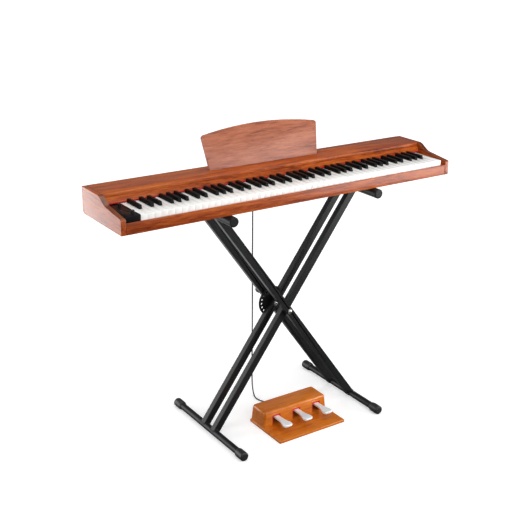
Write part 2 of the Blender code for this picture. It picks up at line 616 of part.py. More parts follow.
axle_z = PEDAL_TOP - PEDAL_THICK / 2
axle_half = HOUSING_SIZE[0] / 2 - HOUSING_WALL - GAP
shade_round(rod("pedal_axle", AXLE_RADIUS, (PEDAL_X - axle_half, PEDAL_PIVOT, axle_z),
                (PEDAL_X + axle_half, PEDAL_PIVOT, axle_z), BRIGHT, sides=12))

# ---------------------------------------------------------------- pedal cord
housing_back = housing_high.y
EXIT = Vector((0.034, housing_back, 0.024))
relief = [(0.0, 0.02), (0.0032, 0.02), (0.0045, 0.003), (0.0055, 0.003), (0.0055, GAP), (0.0, GAP)]
shade_round(turned("cord_relief", relief, RUBBER, EXIT, (0, 1, 0), sides=16))

plug_face = piano_y(PIANO_DEPTH - 0.0005) + GAP
plug = [(0.0, PLUG_LENGTH), (0.003, PLUG_LENGTH), (0.0038, 0.018), (0.0055, 0.016), (0.0055, 0.001),
        (0.0045, 0.0), (0.0, 0.0)]
shade_round(turned("pedal_plug", plug, RUBBER, (JACK_X, plug_face, JACK_Z), (0, 1, 0), sides=16))

CORD_ROUTE = [
    (0.0340, 0.0083, 0.0240), (0.0340, 0.0160, 0.0240), (0.0338, 0.0270, 0.0185), (0.0322, 0.0400, 0.0085),
    (0.0250, 0.0570, 0.0038), (0.0120, 0.0740, 0.0029), (0.0020, 0.0920, 0.0029), (-0.0020, 0.1120, 0.0034),
    (0.0010, 0.1310, 0.0060), (0.0080, 0.1500, 0.0150), (0.0135, 0.1650, 0.0360), (0.0160, 0.1710, 0.0800),
    (0.0165, 0.1720, 0.1600), (0.0165, 0.1720, 0.3000), (0.0160, 0.1720, 0.4500), (0.0155, 0.1720, 0.6000),
    (0.0155, 0.1720, 0.7400), (0.0155, 0.1720, 0.8300), (0.0155, 0.1718, 0.8640), (0.0155, 0.1695, 0.8810),
    (0.0155, 0.1625, 0.8915), (0.0155, 0.1578, 0.8925), (0.0155, 0.1532, 0.8925),
]


def smooth_route(points, spacing):
    """Points along a smooth curve through the route's own points."""
    spots = [Vector(p) for p in points]
    spots = [2 * spots[0] - spots[1]] + spots + [2 * spots[-1] - spots[-2]]
    found = []
    for before, start, end, after in zip(spots, spots[1:], spots[2:], spots[3:]):
        pieces = max(1, round((end - start).length / spacing))
        for k in range(pieces):
            t = k / pieces
            found.append(0.5 * (2 * start + (end - before) * t
                                + (2 * before - 5 * start + 4 * end - after) * t * t
                                + (3 * start - before - 3 * end + after) * t ** 3))
    return found + [spots[-2]]


line = smooth_route(CORD_ROUTE, 0.018)
cord_curve = bpy.data.curves.new("pedal_cord", "CURVE")
cord_curve.dimensions = "3D"
cord_curve.bevel_depth = CORD_RADIUS
cord_curve.bevel_resolution = 2
cord_curve.use_fill_caps = True
path = cord_curve.splines.new("POLY")
path.points.add(len(line) - 1)
for spot, place in zip(path.points, line):
    spot.co = (*place, 1.0)
cord = bpy.data.objects.new("pedal_cord", cord_curve)
PARTS.objects.link(cord)
cord_curve.materials.append(CORD)

# ---------------------------------------------------------------- pivots
KEYBED = Vector((0.0, PIANO_FRONT, UNDERSIDE))
GROUPS = {
    "stand_hub_pivot": (PIVOT, ["pivot_bolt_front", "pivot_bolt_rear"]),
    "frame_a_pivot": (PIVOT, ["leg_a_front", "leg_a_rear", "foot_a", "foot_cap_a_front", "foot_cap_a_rear",
                              "arm_a", "sleeve_a", "lock_knob"]),
    "frame_b_pivot": (PIVOT, ["leg_b_front", "leg_b_rear", "foot_b", "foot_cap_b_front", "foot_cap_b_rear",
                              "arm_b", "sleeve_b", "lock_disc"]),
    "piano_lift_point": (KEYBED, ["cheek_left", "cheek_right", "top_panel", "fallboard", "key_felt",
                                  "front_rail", "bottom_panel", "back_panel", "speaker_left", "speaker_right",
                                  "key_frame", "main_board", "control_panel", "right_key_block", "pedal_plug",
                                  "music_rest"]),
}
bpy.context.view_layer.update()
for name, (place, members) in GROUPS.items():
    holder = bpy.data.objects.new(name, None)
    PARTS.objects.link(holder)
    holder.location = place
    for member in members:
        piece = bpy.data.objects[member]
        piece.parent = holder
        piece.matrix_parent_inverse = Matrix.Translation(-Vector(place))
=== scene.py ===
import math

import bmesh
import bpy
from mathutils import Matrix, Vector


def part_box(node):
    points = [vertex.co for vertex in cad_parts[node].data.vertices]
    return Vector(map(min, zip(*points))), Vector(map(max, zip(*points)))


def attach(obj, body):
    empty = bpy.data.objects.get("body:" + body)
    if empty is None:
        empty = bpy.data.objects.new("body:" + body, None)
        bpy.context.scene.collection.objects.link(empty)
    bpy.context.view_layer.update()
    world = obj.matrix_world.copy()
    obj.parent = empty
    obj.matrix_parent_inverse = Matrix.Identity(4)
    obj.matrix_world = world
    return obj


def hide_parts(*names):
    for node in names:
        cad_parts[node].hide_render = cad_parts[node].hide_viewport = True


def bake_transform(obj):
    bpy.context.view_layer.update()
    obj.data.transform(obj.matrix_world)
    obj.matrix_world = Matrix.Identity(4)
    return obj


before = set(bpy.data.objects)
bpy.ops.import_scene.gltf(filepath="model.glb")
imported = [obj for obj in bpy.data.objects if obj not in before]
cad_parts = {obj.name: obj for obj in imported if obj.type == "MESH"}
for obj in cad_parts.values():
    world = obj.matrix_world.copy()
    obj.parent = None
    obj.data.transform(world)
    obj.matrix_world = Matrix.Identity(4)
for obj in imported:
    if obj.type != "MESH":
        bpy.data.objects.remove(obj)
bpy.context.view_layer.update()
print("frame loaded:", len(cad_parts), "nodes")


# ---- selecting, adding and finishing meshes
def nothingSelected():
    if bpy.context.object and bpy.context.object.mode != "OBJECT":
        bpy.ops.object.mode_set(mode="OBJECT")
    bpy.ops.object.select_all(action="DESELECT")


def only(piece):
    nothingSelected()
    piece.select_set(True)
    bpy.context.view_layer.objects.active = piece


def editOff():
    bpy.ops.object.mode_set(mode="OBJECT")


def editOn(piece, action):
    only(piece)
    bpy.ops.object.mode_set(mode="EDIT")
    bpy.ops.mesh.select_all(action=action)


def pickNothing(piece, kind):
    editOn(piece, "DESELECT")
    bpy.ops.mesh.select_mode(type=kind)
    editOff()


def pickFaces(piece, wanted):  # wanted gets each face's middle and normal
    pickNothing(piece, "FACE")
    for face in piece.data.polygons:
        face.select = wanted(face.center, face.normal)
    bpy.ops.object.mode_set(mode="EDIT")


def pickEdges(piece, wanted):  # wanted gets each edge's middle and direction
    pickNothing(piece, "EDGE")
    spots = piece.data.vertices
    for edge in piece.data.edges:
        first, second = spots[edge.vertices[0]].co, spots[edge.vertices[1]].co
        edge.select = wanted((first + second) / 2, (second - first).normalized())
    bpy.ops.object.mode_set(mode="EDIT")


def bevelEdges(piece, width, segments, wanted):
    pickEdges(piece, wanted)
    bpy.ops.mesh.bevel(offset=width, segments=segments)
    editOff()


def settled(piece, name):  # leaves the object at the origin, with its place in its mesh
    piece.name = name
    piece.data.name = name
    only(piece)
    bpy.ops.object.transform_apply(location=True, rotation=True, scale=True)
    return piece


def addBox(name, low, high, turn=(0, 0, 0)):
    nothingSelected()
    low, high = Vector(low), Vector(high)
    bpy.ops.mesh.primitive_cube_add(size=1, location=(low + high) / 2, rotation=turn)
    bpy.context.object.scale = high - low
    return settled(bpy.context.object, name)


def addRod(name, radius, start, end, sides=32):
    nothingSelected()
    start, end = Vector(start), Vector(end)
    along = end - start
    turn = along.to_track_quat("Z", "Y").to_euler()
    bpy.ops.mesh.primitive_cylinder_add(vertices=sides, radius=radius, depth=along.length,
                                        location=(start + end) / 2, rotation=turn)
    return settled(bpy.context.object, name)


def cadCopy(node, name):  # the CAD shape as one welded mesh, with its flat faces whole again
    nothingSelected()
    piece = bpy.data.objects.new(name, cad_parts[node].data.copy())
    piece.data.materials.clear()
    bpy.context.scene.collection.objects.link(piece)
    editOn(piece, "SELECT")
    bpy.ops.mesh.remove_doubles(threshold=0.00002)
    bpy.ops.mesh.dissolve_limited(angle_limit=math.radians(0.5))
    editOff()
    bpy.ops.object.shade_flat()
    return piece


def middleOf(node):
    low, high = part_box(node)
    return (low + high) / 2


def applied(piece, modifier):
    only(piece)
    bpy.ops.object.modifier_apply(modifier=modifier.name)


def softEdges(piece, width, segments=3, angle=30):
    bevel = piece.modifiers.new("softEdges", "BEVEL")
    bevel.width = width
    bevel.segments = segments
    bevel.limit_method = "ANGLE"
    bevel.angle_limit = math.radians(angle)
    bevel.use_clamp_overlap = True
    applied(piece, bevel)
    return smoothed(piece, angle)


def smoothed(piece, angle=30):
    only(piece)
    bpy.ops.object.shade_smooth_by_angle(angle=math.radians(angle))
    return piece


def cutBy(piece, tool):
    cut = piece.modifiers.new("cut", "BOOLEAN")
    cut.object = tool
    cut.solver = "EXACT"
    applied(piece, cut)
    bpy.data.objects.remove(tool, do_unlink=True)
    return piece


def joined(pieces, name):
    only(pieces[0])
    for piece in pieces[1:]:
        piece.select_set(True)
    bpy.ops.object.join()
    made = bpy.context.object
    made.name = name
    made.data.name = name
    return made


def turnedPiece(name, profile, start, direction, steps=48):
    # a profile of (radius, height) spun about a line through start, its doubles merged and faces turned out
    nothingSelected()
    bpy.ops.mesh.primitive_plane_add(size=1)
    piece = bpy.context.object
    bpy.ops.object.mode_set(mode="EDIT")
    bpy.ops.mesh.delete(type="VERT")
    shell = bmesh.from_edit_mesh(piece.data)
    ring = [shell.verts.new((radius, 0, height)) for radius, height in profile]
    for first, second in zip(ring, ring[1:]):
        shell.edges.new((first, second))
    bmesh.update_edit_mesh(piece.data)
    bpy.ops.mesh.select_all(action="SELECT")
    bpy.ops.mesh.spin(steps=steps, angle=2 * math.pi, center=(0, 0, 0), axis=(0, 0, 1))
    bpy.ops.mesh.select_all(action="SELECT")
    bpy.ops.mesh.remove_doubles(threshold=0.00001)
    bpy.ops.mesh.normals_make_consistent(inside=False)
    editOff()
    piece.location = start
    piece.rotation_euler = Vector(direction).to_track_quat("Z", "Y").to_euler()
    return smoothed(settled(piece, name), 35)


def finishPiece(piece, body, finish, stands=()):
    piece.data.materials.clear()
    piece.data.materials.append(finish)
    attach(piece, body)
    if stands:
        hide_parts(*stands)
    return piece


# ---- materials: every pattern runs on Object coordinates
def newFinish(name, **sockets):
    finish = bpy.data.materials.new(name)
    finish.use_nodes = True
    shader = finish.node_tree.nodes["Principled BSDF"]
    for socket, value in sockets.items():
        shader.inputs[socket].default_value = value
    return finish, finish.node_tree, shader


def placed(tree, stretch, turn=(0, 0, 0)):
    coordinates = tree.nodes.new("ShaderNodeTexCoord")
    mapping = tree.nodes.new("ShaderNodeMapping")
    mapping.inputs["Scale"].default_value = stretch
    mapping.inputs["Rotation"].default_value = turn
    tree.links.new(coordinates.outputs["Object"], mapping.inputs["Vector"])
    return mapping.outputs["Vector"]


def noise(tree, stretch, detail=4, roughness=0.55, distortion=0.0, turn=(0, 0, 0)):
    made = tree.nodes.new("ShaderNodeTexNoise")
    made.inputs["Scale"].default_value = 1.0
    made.inputs["Detail"].default_value = detail
    made.inputs["Roughness"].default_value = roughness
    made.inputs["Distortion"].default_value = distortion
    tree.links.new(placed(tree, stretch, turn), made.inputs["Vector"])
    return made.outputs["Fac"]


def ramp(tree, value, stops):
    made = tree.nodes.new("ShaderNodeValToRGB")
    tree.links.new(value, made.inputs["Fac"])
    while len(made.color_ramp.elements) < len(stops):
        made.color_ramp.elements.new(0.5)
    for element, (place, colour) in zip(made.color_ramp.elements, stops):
        element.position = place
        element.color = (*colour, 1) if len(colour) == 3 else colour
    return made.outputs["Color"]


def spread(tree, value, low, high, fromLow=0.3, fromHigh=0.7):
    made = tree.nodes.new("ShaderNodeMapRange")
    for socket, number in (("From Min", fromLow), ("From Max", fromHigh), ("To Min", low), ("To Max", high)):
        made.inputs[socket].default_value = number
    tree.links.new(value, made.inputs["Value"])
    return made.outputs["Result"]


def blended(tree, amount, first, second, way="MIX"):
    made = tree.nodes.new("ShaderNodeMix")
    made.data_type = "RGBA"
    made.blend_type = way
    sockets = {"Factor": made.inputs[0], "A": made.inputs[6], "B": made.inputs[7]}
    for key, value in (("Factor", amount), ("A", first), ("B", second)):
        if isinstance(value, (int, float)):
            sockets[key].default_value = value
        elif isinstance(value, tuple):
            sockets[key].default_value = (*value, 1)
        else:
            tree.links.new(value, sockets[key])
    return made.outputs[2]


def sumOf(tree, first, second, way="ADD"):
    made = tree.nodes.new("ShaderNodeMath")
    made.operation = way
    for socket, value in zip(made.inputs, (first, second)):
        if isinstance(value, (int, float)):
            socket.default_value = value
        else:
            tree.links.new(value, socket)
    return made.outputs[0]


def raised(tree, shader, height, depth, strength=1.0):
    bump = tree.nodes.new("ShaderNodeBump")
    bump.inputs["Strength"].default_value = strength
    bump.inputs["Distance"].default_value = depth
    tree.links.new(height, bump.inputs["Height"])
    tree.links.new(bump.outputs["Normal"], shader.inputs["Normal"])


def stretchedAlong(axis, along, across):
    return tuple(along if axis == k else across for k in range(3))


def woodFinish(name, tones, axis, gloss, figure=1.0, turn=(0, 0, 0), sheen=0.2):
    # stained veneer: broad figure, fine streaks along the grain, and open pores
    finish, tree, shader = newFinish(name, **{"Coat Weight": gloss, "Coat Roughness": sheen, "IOR": 1.5,
                                                 "Specular IOR Level": 0.2})
    dark, middle, light = tones
    broad = noise(tree, stretchedAlong(axis, 2.2 * figure, 17 * figure), 3, 0.5, 1.6, turn)
    streaks = noise(tree, stretchedAlong(axis, 15, 160), 4, 0.62, 0.8, turn)
    grain = sumOf(tree, sumOf(tree, broad, 0.45, "MULTIPLY"), sumOf(tree, streaks, 0.55, "MULTIPLY"))
    base = ramp(tree, grain, [(0.36, dark), (0.48, middle), (0.62, light)])
    pores = noise(tree, stretchedAlong(axis, 65, 1500), 2, 0.5, 0, turn)
    poreMask = spread(tree, pores, 0.0, 1.0, 0.56, 0.7)
    inked = sumOf(tree, poreMask, 0.45, "MULTIPLY")
    colour = blended(tree, inked, base, tuple(0.45 * tone for tone in dark))
    tree.links.new(colour, shader.inputs["Base Color"])
    tree.links.new(spread(tree, streaks, 0.34, 0.5), shader.inputs["Roughness"])
    height = sumOf(tree, sumOf(tree, streaks, 0.35, "MULTIPLY"), poreMask, "SUBTRACT")
    raised(tree, shader, height, 0.00012, 0.6)
    return finish


def plasticFinish(name, dark, light, roughness, grainScale, grainDepth, **sockets):
    finish, tree, shader = newFinish(name, **sockets)
    clouds = noise(tree, (9, 9, 9), 4)
    fine = noise(tree, (grainScale,) * 3, 3, 0.6)
    tree.links.new(ramp(tree, clouds, [(0.35, dark), (0.65, light)]), shader.inputs["Base Color"])
    tree.links.new(spread(tree, fine, roughness[0], roughness[1]), shader.inputs["Roughness"])
    raised(tree, shader, fine, grainDepth)
    return finish


def steelPaint(name):  # black powder coat: orange peel, dust-fine grain, and a thin sheen
    finish, tree, shader = newFinish(name, **{"Coat Weight": 0.08, "Coat Roughness": 0.25,
                                                 "Specular IOR Level": 0.22})
    peel = noise(tree, (420, 420, 420), 2, 0.5)
    dust = noise(tree, (2600, 2600, 2600), 2, 0.6)
    tint = noise(tree, (6, 6, 6), 4)
    tree.links.new(ramp(tree, tint, [(0.3, (0.006, 0.006, 0.007)), (0.7, (0.011, 0.011, 0.012))]),
                   shader.inputs["Base Color"])
    tree.links.new(spread(tree, peel, 0.34, 0.5), shader.inputs["Roughness"])
    raised(tree, shader, sumOf(tree, peel, sumOf(tree, dust, 0.3, "MULTIPLY")), 0.0001, 0.7)
    return finish


def metalFinish(name, tone, roughness, scratch=(900, 60, 60), metallic=1.0):
    finish, tree, shader = newFinish(name, Metallic=metallic)
    lines = noise(tree, scratch, 4, 0.6)
    cloud = noise(tree, (30, 30, 30), 3)
    tree.links.new(ramp(tree, cloud, [(0.3, tuple(0.9 * v for v in tone)), (0.7, tone)]),
                   shader.inputs["Base Color"])
    tree.links.new(spread(tree, lines, roughness[0], roughness[1]), shader.inputs["Roughness"])
    raised(tree, shader, lines, 0.00002, 0.4)
    return finish


def feltFinish(name, dark, light):
    finish, tree, shader = newFinish(name, Roughness=0.95, **{"Sheen Weight": 0.12, "Sheen Roughness": 0.5})
    fibres = noise(tree, (900, 900, 900), 6, 0.75, 1.2)
    tufts = noise(tree, (160, 160, 160), 3)
    mixed = sumOf(tree, sumOf(tree, fibres, 0.6, "MULTIPLY"), sumOf(tree, tufts, 0.4, "MULTIPLY"))
    tree.links.new(ramp(tree, mixed, [(0.38, dark), (0.62, light)]), shader.inputs["Base Color"])
    raised(tree, shader, fibres, 0.0004)
    return finish


caseTones = ((0.125, 0.017, 0.002), (0.335, 0.055, 0.005), (0.49, 0.11, 0.012))
# darker copy of the case tones: painted shade for the cheeks' faces that point up and forward
cheekTopShadeTones = ((0.085, 0.016, 0.004), (0.165, 0.038, 0.01), (0.24, 0.062, 0.018))
# greyer, pinker tones: partly the rest's own figure, partly a painted reflection of the bright surroundings
# on its tilted face
restTones = ((0.15, 0.042, 0.03), (0.34, 0.096, 0.044), (0.45, 0.155, 0.08))
pedalTones = ((0.47, 0.105, 0.005), (0.61, 0.155, 0.008), (0.7, 0.21, 0.018))
boardWood = woodFinish("boardWood", caseTones, 0, 0.3)
cheekWood = woodFinish("cheekWood", caseTones, 1, 0.5)
cheekTopShadeWood = woodFinish("cheekTopShadeWood", cheekTopShadeTones, 1, 0.4)
restWood = woodFinish("restWood", restTones, 0, 0.6, 1.5, (0, 0.06, 0.05))
pedalWood = woodFinish("pedalWood", pedalTones, 0, 0.8, 0.6, sheen=0.12)
boardPaint = plasticFinish("boardPaint", (0.016, 0.015, 0.014), (0.032, 0.03, 0.028), (0.6, 0.8), 700,
                           0.00018)
whiteKeyGloss = plasticFinish("whiteKeyGloss", (0.89, 0.88, 0.85), (0.94, 0.93, 0.91), (0.16, 0.26), 90,
                              0.00002, **{"Coat Weight": 0.4, "Coat Roughness": 0.08, "IOR": 1.5})
blackKeyGloss = plasticFinish("blackKeyGloss", (0.003, 0.003, 0.003), (0.006, 0.006, 0.006), (0.24, 0.36),
                              600, 0.00004, **{"Coat Weight": 0.0, "IOR": 1.2})
blockPlastic = plasticFinish("blockPlastic", (0.004, 0.0035, 0.0035), (0.007, 0.006, 0.006), (0.24, 0.34),
                             1800, 0.00005, **{"IOR": 1.2})
knobPlastic = plasticFinish("knobPlastic", (0.008, 0.008, 0.009), (0.015, 0.015, 0.016), (0.25, 0.4), 1200,
                            0.00003)
softSheen = {"Specular IOR Level": 0.4}
capRubber = plasticFinish("capRubber", (0.012, 0.012, 0.013), (0.022, 0.022, 0.023), (0.36, 0.5), 850, 0.0001,
                          **softSheen)
sleeveRubber = plasticFinish("sleeveRubber", (0.005, 0.005, 0.005), (0.009, 0.009, 0.01), (0.36, 0.5), 500,
                             0.0001, **{"Specular IOR Level": 0.22})
cordJacket = plasticFinish("cordJacket", (0.014, 0.014, 0.015), (0.024, 0.024, 0.026), (0.36, 0.5), 1500,
                           0.00003, **softSheen)
framePaint = steelPaint("framePaint")
boltSteel = metalFinish("boltSteel", (0.72, 0.72, 0.7), (0.18, 0.34))
# polished metal with a near-white base and little metallic: the white base is a painted reflection of bright
# surroundings
pedalChromePaintedReflection = metalFinish("pedalChromePaintedReflection", (0.97, 0.97, 0.98), (0.16, 0.22), (40, 300, 40), 0.2)
redFelt = feltFinish("redFelt", (0.4, 0.001, 0.002), (0.72, 0.003, 0.006))
print("finishes made")


# ---- camera, floor and light
cameraSetting = {"place": (-1.8471, -2.6542, 1.8046), "yaw": 34.18, "pitch": -20.6417, "roll": 0.5981,
                 "lens": 66.2}


def makeCamera(setting):
    lens = bpy.data.cameras.new("camera")
    lens.lens = setting["lens"]
    lens.sensor_width = 36
    lens.clip_start = 0.05
    lens.clip_end = 120
    holder = bpy.data.objects.new("camera", lens)
    bpy.context.scene.collection.objects.link(holder)
    turn = (Matrix.Rotation(-math.radians(setting["yaw"]), 4, "Z")
            @ Matrix.Rotation(math.radians(90 + setting["pitch"]), 4, "X")
            @ Matrix.Rotation(math.radians(setting["roll"]), 4, "Z"))
    holder.matrix_world = Matrix.Translation(setting["place"]) @ turn
    bpy.context.scene.camera = holder


lightSetting = {
    "leftBack": {"place": (-2.2, 1.7, 0.6), "aim": (-0.45, 0.0, 0.75), "size": (3.2, 2.2), "power": 74},
    "leftSide": {"place": (-3.0, 1.0, 0.9), "aim": (-0.5, 0.0, 0.8), "size": (2.0, 1.6), "power": 14},
    "frontRight": {"place": (2.4, -1.7, 0.55), "aim": (0.5, -0.1, 0.8), "size": (2.0, 1.3), "power": 52},
    "floorBack": {"place": (0.1, 0.9, 0.01), "aim": (0.1, 0.9, 1.0), "size": (1.6, 1.0), "power": 5},
    "restGlow": {"place": (1.35, -2.0, 1.35), "aim": (0.0, 0.05, 1.0), "size": (1.5, 0.8), "power": 13},
    "frontFill": {"place": (-0.6, -3.2, 1.9), "aim": (0.0, 0.0, 0.6), "size": (3.4, 2.4), "power": 68},
    "overhead": {"place": (0.0, 0.0, 3.4), "aim": (0.0, 0.0, 0.4), "size": (3.2, 2.8), "power": 70},
    "backDim": {"place": (2.0, 3.8, 2.0), "aim": (0.0, 0.0, 0.9), "size": (5.0, 2.6), "power": 6},
}
surroundings = {"colour": (1.0, 1.0, 1.0), "strength": 0.1, "floorTone": (0.8, 0.8, 0.8),
                "floorGlow": (0.42, 1.05), "glowReach": (1.0, 4.0), "domeRadius": 45, "domeGlow": 1.05}


def makeLights(setting):
    for name, facts in setting.items():
        lamp = bpy.data.lights.new(name, "AREA")
        lamp.shape = "RECTANGLE"
        lamp.size, lamp.size_y = facts["size"]
        lamp.energy = facts["power"]
        holder = bpy.data.objects.new(name, lamp)
        bpy.context.scene.collection.objects.link(holder)
        holder.location = facts["place"]
        holder.visible_camera = False
        aim = Vector(facts["aim"]) - Vector(facts["place"])
        holder.rotation_euler = aim.to_track_quat("-Z", "Y").to_euler()
    world = bpy.data.worlds.new("studio")
    bpy.context.scene.world = world
    world.use_nodes = True
    sky = world.node_tree.nodes["Background"]
    sky.inputs["Color"].default_value = (*surroundings["colour"], 1)
    sky.inputs["Strength"].default_value = surroundings["strength"]


def makeFloor():  # floor and dome are seen, but only the lamps and the dim world light the object
    nothingSelected()
    bpy.ops.mesh.primitive_plane_add(size=80, location=(0, 0, -0.0005))
    floor = settled(bpy.context.object, "studioFloor")
    finish, tree, shader = newFinish("floorPaper", Roughness=0.9)
    shader.inputs["Specular IOR Level"].default_value = 0.0
    shader.inputs["Emission Color"].default_value = (1, 1, 1, 1)
    reach = tree.nodes.new("ShaderNodeVectorMath")
    reach.operation = "LENGTH"
    tree.links.new(placed(tree, (1, 1, 1)), reach.inputs[0])
    glow = spread(tree, reach.outputs["Value"], *surroundings["floorGlow"], *surroundings["glowReach"])
    tree.links.new(glow, shader.inputs["Emission Strength"])
    tone = surroundings["floorTone"]
    patches = noise(tree, (0.7, 0.7, 0.7), 2)
    tree.links.new(ramp(tree, patches, [(0.3, tuple(0.985 * v for v in tone)), (0.7, tone)]),
                   shader.inputs["Base Color"])
    floor.data.materials.append(finish)
    nothingSelected()
    bpy.ops.mesh.primitive_uv_sphere_add(segments=48, ring_count=24, radius=surroundings["domeRadius"])
    dome = settled(bpy.context.object, "studioDome")
    paper, tree, shader = newFinish("domePaper", Roughness=1.0)
    shader.inputs["Base Color"].default_value = (0, 0, 0, 1)
    shader.inputs["Specular IOR Level"].default_value = 0.0
    shader.inputs["Emission Color"].default_value = (1, 1, 1, 1)
    shader.inputs["Emission Strength"].default_value = surroundings["domeGlow"]
    dome.data.materials.append(paper)
    for stage in (floor, dome):
        stage.visible_diffuse = False
        stage.visible_glossy = False
        stage.visible_transmission = False
        stage.visible_shadow = False


makeCamera(cameraSetting)
makeLights(lightSetting)
makeFloor()
bpy.context.scene.view_settings.view_transform = "Standard"
print("camera, lights and floor made")


# ---- pedal cord
cord = {
    "radius": 0.0025, "sides": 4, "spacing": 0.012,
    "exit": (0.034, -0.012, 0.024),
    "route": [
        (0.034, 0.0083, 0.024), (0.034, 0.016, 0.024), (0.0338, 0.027, 0.0185), (0.0322, 0.04, 0.0085),
        (0.025, 0.057, 0.0038), (0.012, 0.074, 0.0029), (0.002, 0.092, 0.0029), (-0.002, 0.112, 0.0034),
        (0.001, 0.131, 0.006), (0.008, 0.15, 0.015), (0.0135, 0.165, 0.036), (0.016, 0.171, 0.08),
        (0.0165, 0.172, 0.16), (0.0165, 0.172, 0.3), (0.016, 0.172, 0.45), (0.0155, 0.172, 0.6),
        (0.0155, 0.172, 0.74), (0.0155, 0.172, 0.83), (0.0155, 0.1718, 0.864), (0.0155, 0.1695, 0.881),
        (0.0155, 0.1625, 0.8915), (0.0155, 0.1578, 0.8925), (0.0155, 0.1532, 0.8925),
    ],
    "stretchFrom": (0.016, 0.172, 0.12), "stretchTo": (0.016, 0.172, 0.8),
}


def smoothRoute(points, spacing):
    spots = [Vector(p) for p in points]
    spots = [2 * spots[0] - spots[1]] + spots + [2 * spots[-1] - spots[-2]]
    found = []
    for before, start, end, after in zip(spots, spots[1:], spots[2:], spots[3:]):
        pieces = max(1, round((end - start).length / spacing))
        for k in range(pieces):
            t = k / pieces
            found.append(0.5 * (2 * start + (end - before) * t
                                + (2 * before - 5 * start + 4 * end - after) * t * t
                                + (3 * start - before - 3 * end + after) * t ** 3))
    return found + [spots[-2]]


def lengthOf(line):
    return sum((second - first).length for first, second in zip(line, line[1:]))


def tubeAlong(name, line, radius, sides=4):
    nothingSelected()
    curve = bpy.data.curves.new(name, "CURVE")
    curve.dimensions = "3D"
    curve.bevel_depth = radius
    curve.bevel_resolution = sides
    curve.use_fill_caps = True
    path = curve.splines.new("POLY")
    path.points.add(len(line) - 1)
    for spot, place in zip(path.points, line):
        spot.co = (*place, 1.0)
    piece = bpy.data.objects.new(name, curve)
    bpy.context.scene.collection.objects.link(piece)
    only(piece)
    bpy.ops.object.convert(target="MESH")
    editOn(bpy.context.object, "SELECT")
    bpy.ops.mesh.remove_doubles(threshold=0.00001)
    editOff()
    return smoothed(bpy.context.object, 50)


def makeCord():
    line = smoothRoute(cord["route"], cord["spacing"])
    flex = tubeAlong("pedalCord", line, cord["radius"], cord["sides"])
    flex.data.materials.clear()
    flex.data.materials.append(cordJacket)
    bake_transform(flex)
    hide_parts("pedal_cord")
    relief = turnedPiece("cordRelief", reliefProfile(), cord["exit"], (0, 1, 0), 32)
    finishPiece(relief, "pedal_unit", capRubber, ["cord_relief"])
    low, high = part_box("pedal_plug")
    middle = middleOf("pedal_plug")
    plug = turnedPiece("pedalPlug", plugProfile(high.y - low.y), (middle.x, low.y, middle.z), (0, 1, 0), 32)
    finishPiece(plug, "piano", capRubber, ["pedal_plug"])
    print("pedal cord made,", round(lengthOf(line), 3), "m long")


def reliefProfile():  # a flange, then a tapered sleeve with five shallow ribs
    points = [(0.0, 0.0004), (0.0052, 0.0004), (0.0055, 0.0008), (0.0055, 0.0024), (0.0052, 0.0029),
              (0.0044, 0.0031)]
    for rib in range(5):
        foot = 0.0042 + rib * 0.0028
        radius = 0.0043 - rib * 0.00024
        points += [(radius, foot), (radius, foot + 0.0014), (radius - 0.0006, foot + 0.0017),
                   (radius - 0.0006, foot + 0.0024)]
    return points + [(0.0029, 0.0185), (0.0027, 0.0198), (0.0, 0.0199)]


def plugProfile(length):  # a moulded body with a grip and a tapered tail
    return [(0.0, 0.0), (0.0042, 0.0), (0.0047, 0.0004), (0.0054, 0.0012), (0.0055, 0.0024), (0.0051, 0.0034),
            (0.0051, 0.0046), (0.0055, 0.0054), (0.0055, 0.0066), (0.0051, 0.0074), (0.0051, 0.0086),
            (0.0055, 0.0094), (0.0055, 0.0142), (0.005, 0.0156), (0.004, 0.0172), (0.0036, 0.02),
            (0.003, length - 0.001), (0.0026, length), (0.0, length)]


makeCord()


# ---- piano case
caseWork = {"cheekEdge": 0.0016, "topRound": 0.003, "boardEdge": 0.0006, "railEdge": 0.0013,
            "restEdge": 0.0028}


def makeCase():
    for side in ("left", "right"):
        cheek = softEdges(cadCopy("cheek_" + side, side + "Cheek"), caseWork["cheekEdge"], 3, 50)
        finishPiece(cheek, "piano", cheekWood, ["cheek_" + side])
        # faces pointing up and forward take the darker copy of the wood, which paints their shade
        cheek.data.materials.append(cheekTopShadeWood)
        for face in cheek.data.polygons:
            face.material_index = 1 if face.normal.z > 0.3 and face.normal.y < -0.1 else 0

    low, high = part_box("top_panel")
    top = cadCopy("top_panel", "topPanel")
    bevelEdges(top, caseWork["topRound"], 5, lambda middle, way: abs(way.x) > 0.9
               and middle.y < low.y + 0.0005 and middle.z > high.z - 0.0005)
    finishPiece(softEdges(top, caseWork["boardEdge"], 2, 40), "piano", boardWood, ["top_panel"])

    for node, name, width in (("fallboard", "fallboard", caseWork["boardEdge"]),
                              ("front_rail", "frontRail", caseWork["railEdge"]),
                              ("right_key_block", "rightFiller", caseWork["boardEdge"])):
        board = softEdges(cadCopy(node, name), width, 3, 40)
        finishPiece(board, "piano", boardWood, [node])

    rest = softEdges(cadCopy("music_rest", "musicRest"), caseWork["restEdge"], 4, 50)
    finishPiece(rest, "music_rest", restWood, ["music_rest"])
    print("case made")


makeCase()


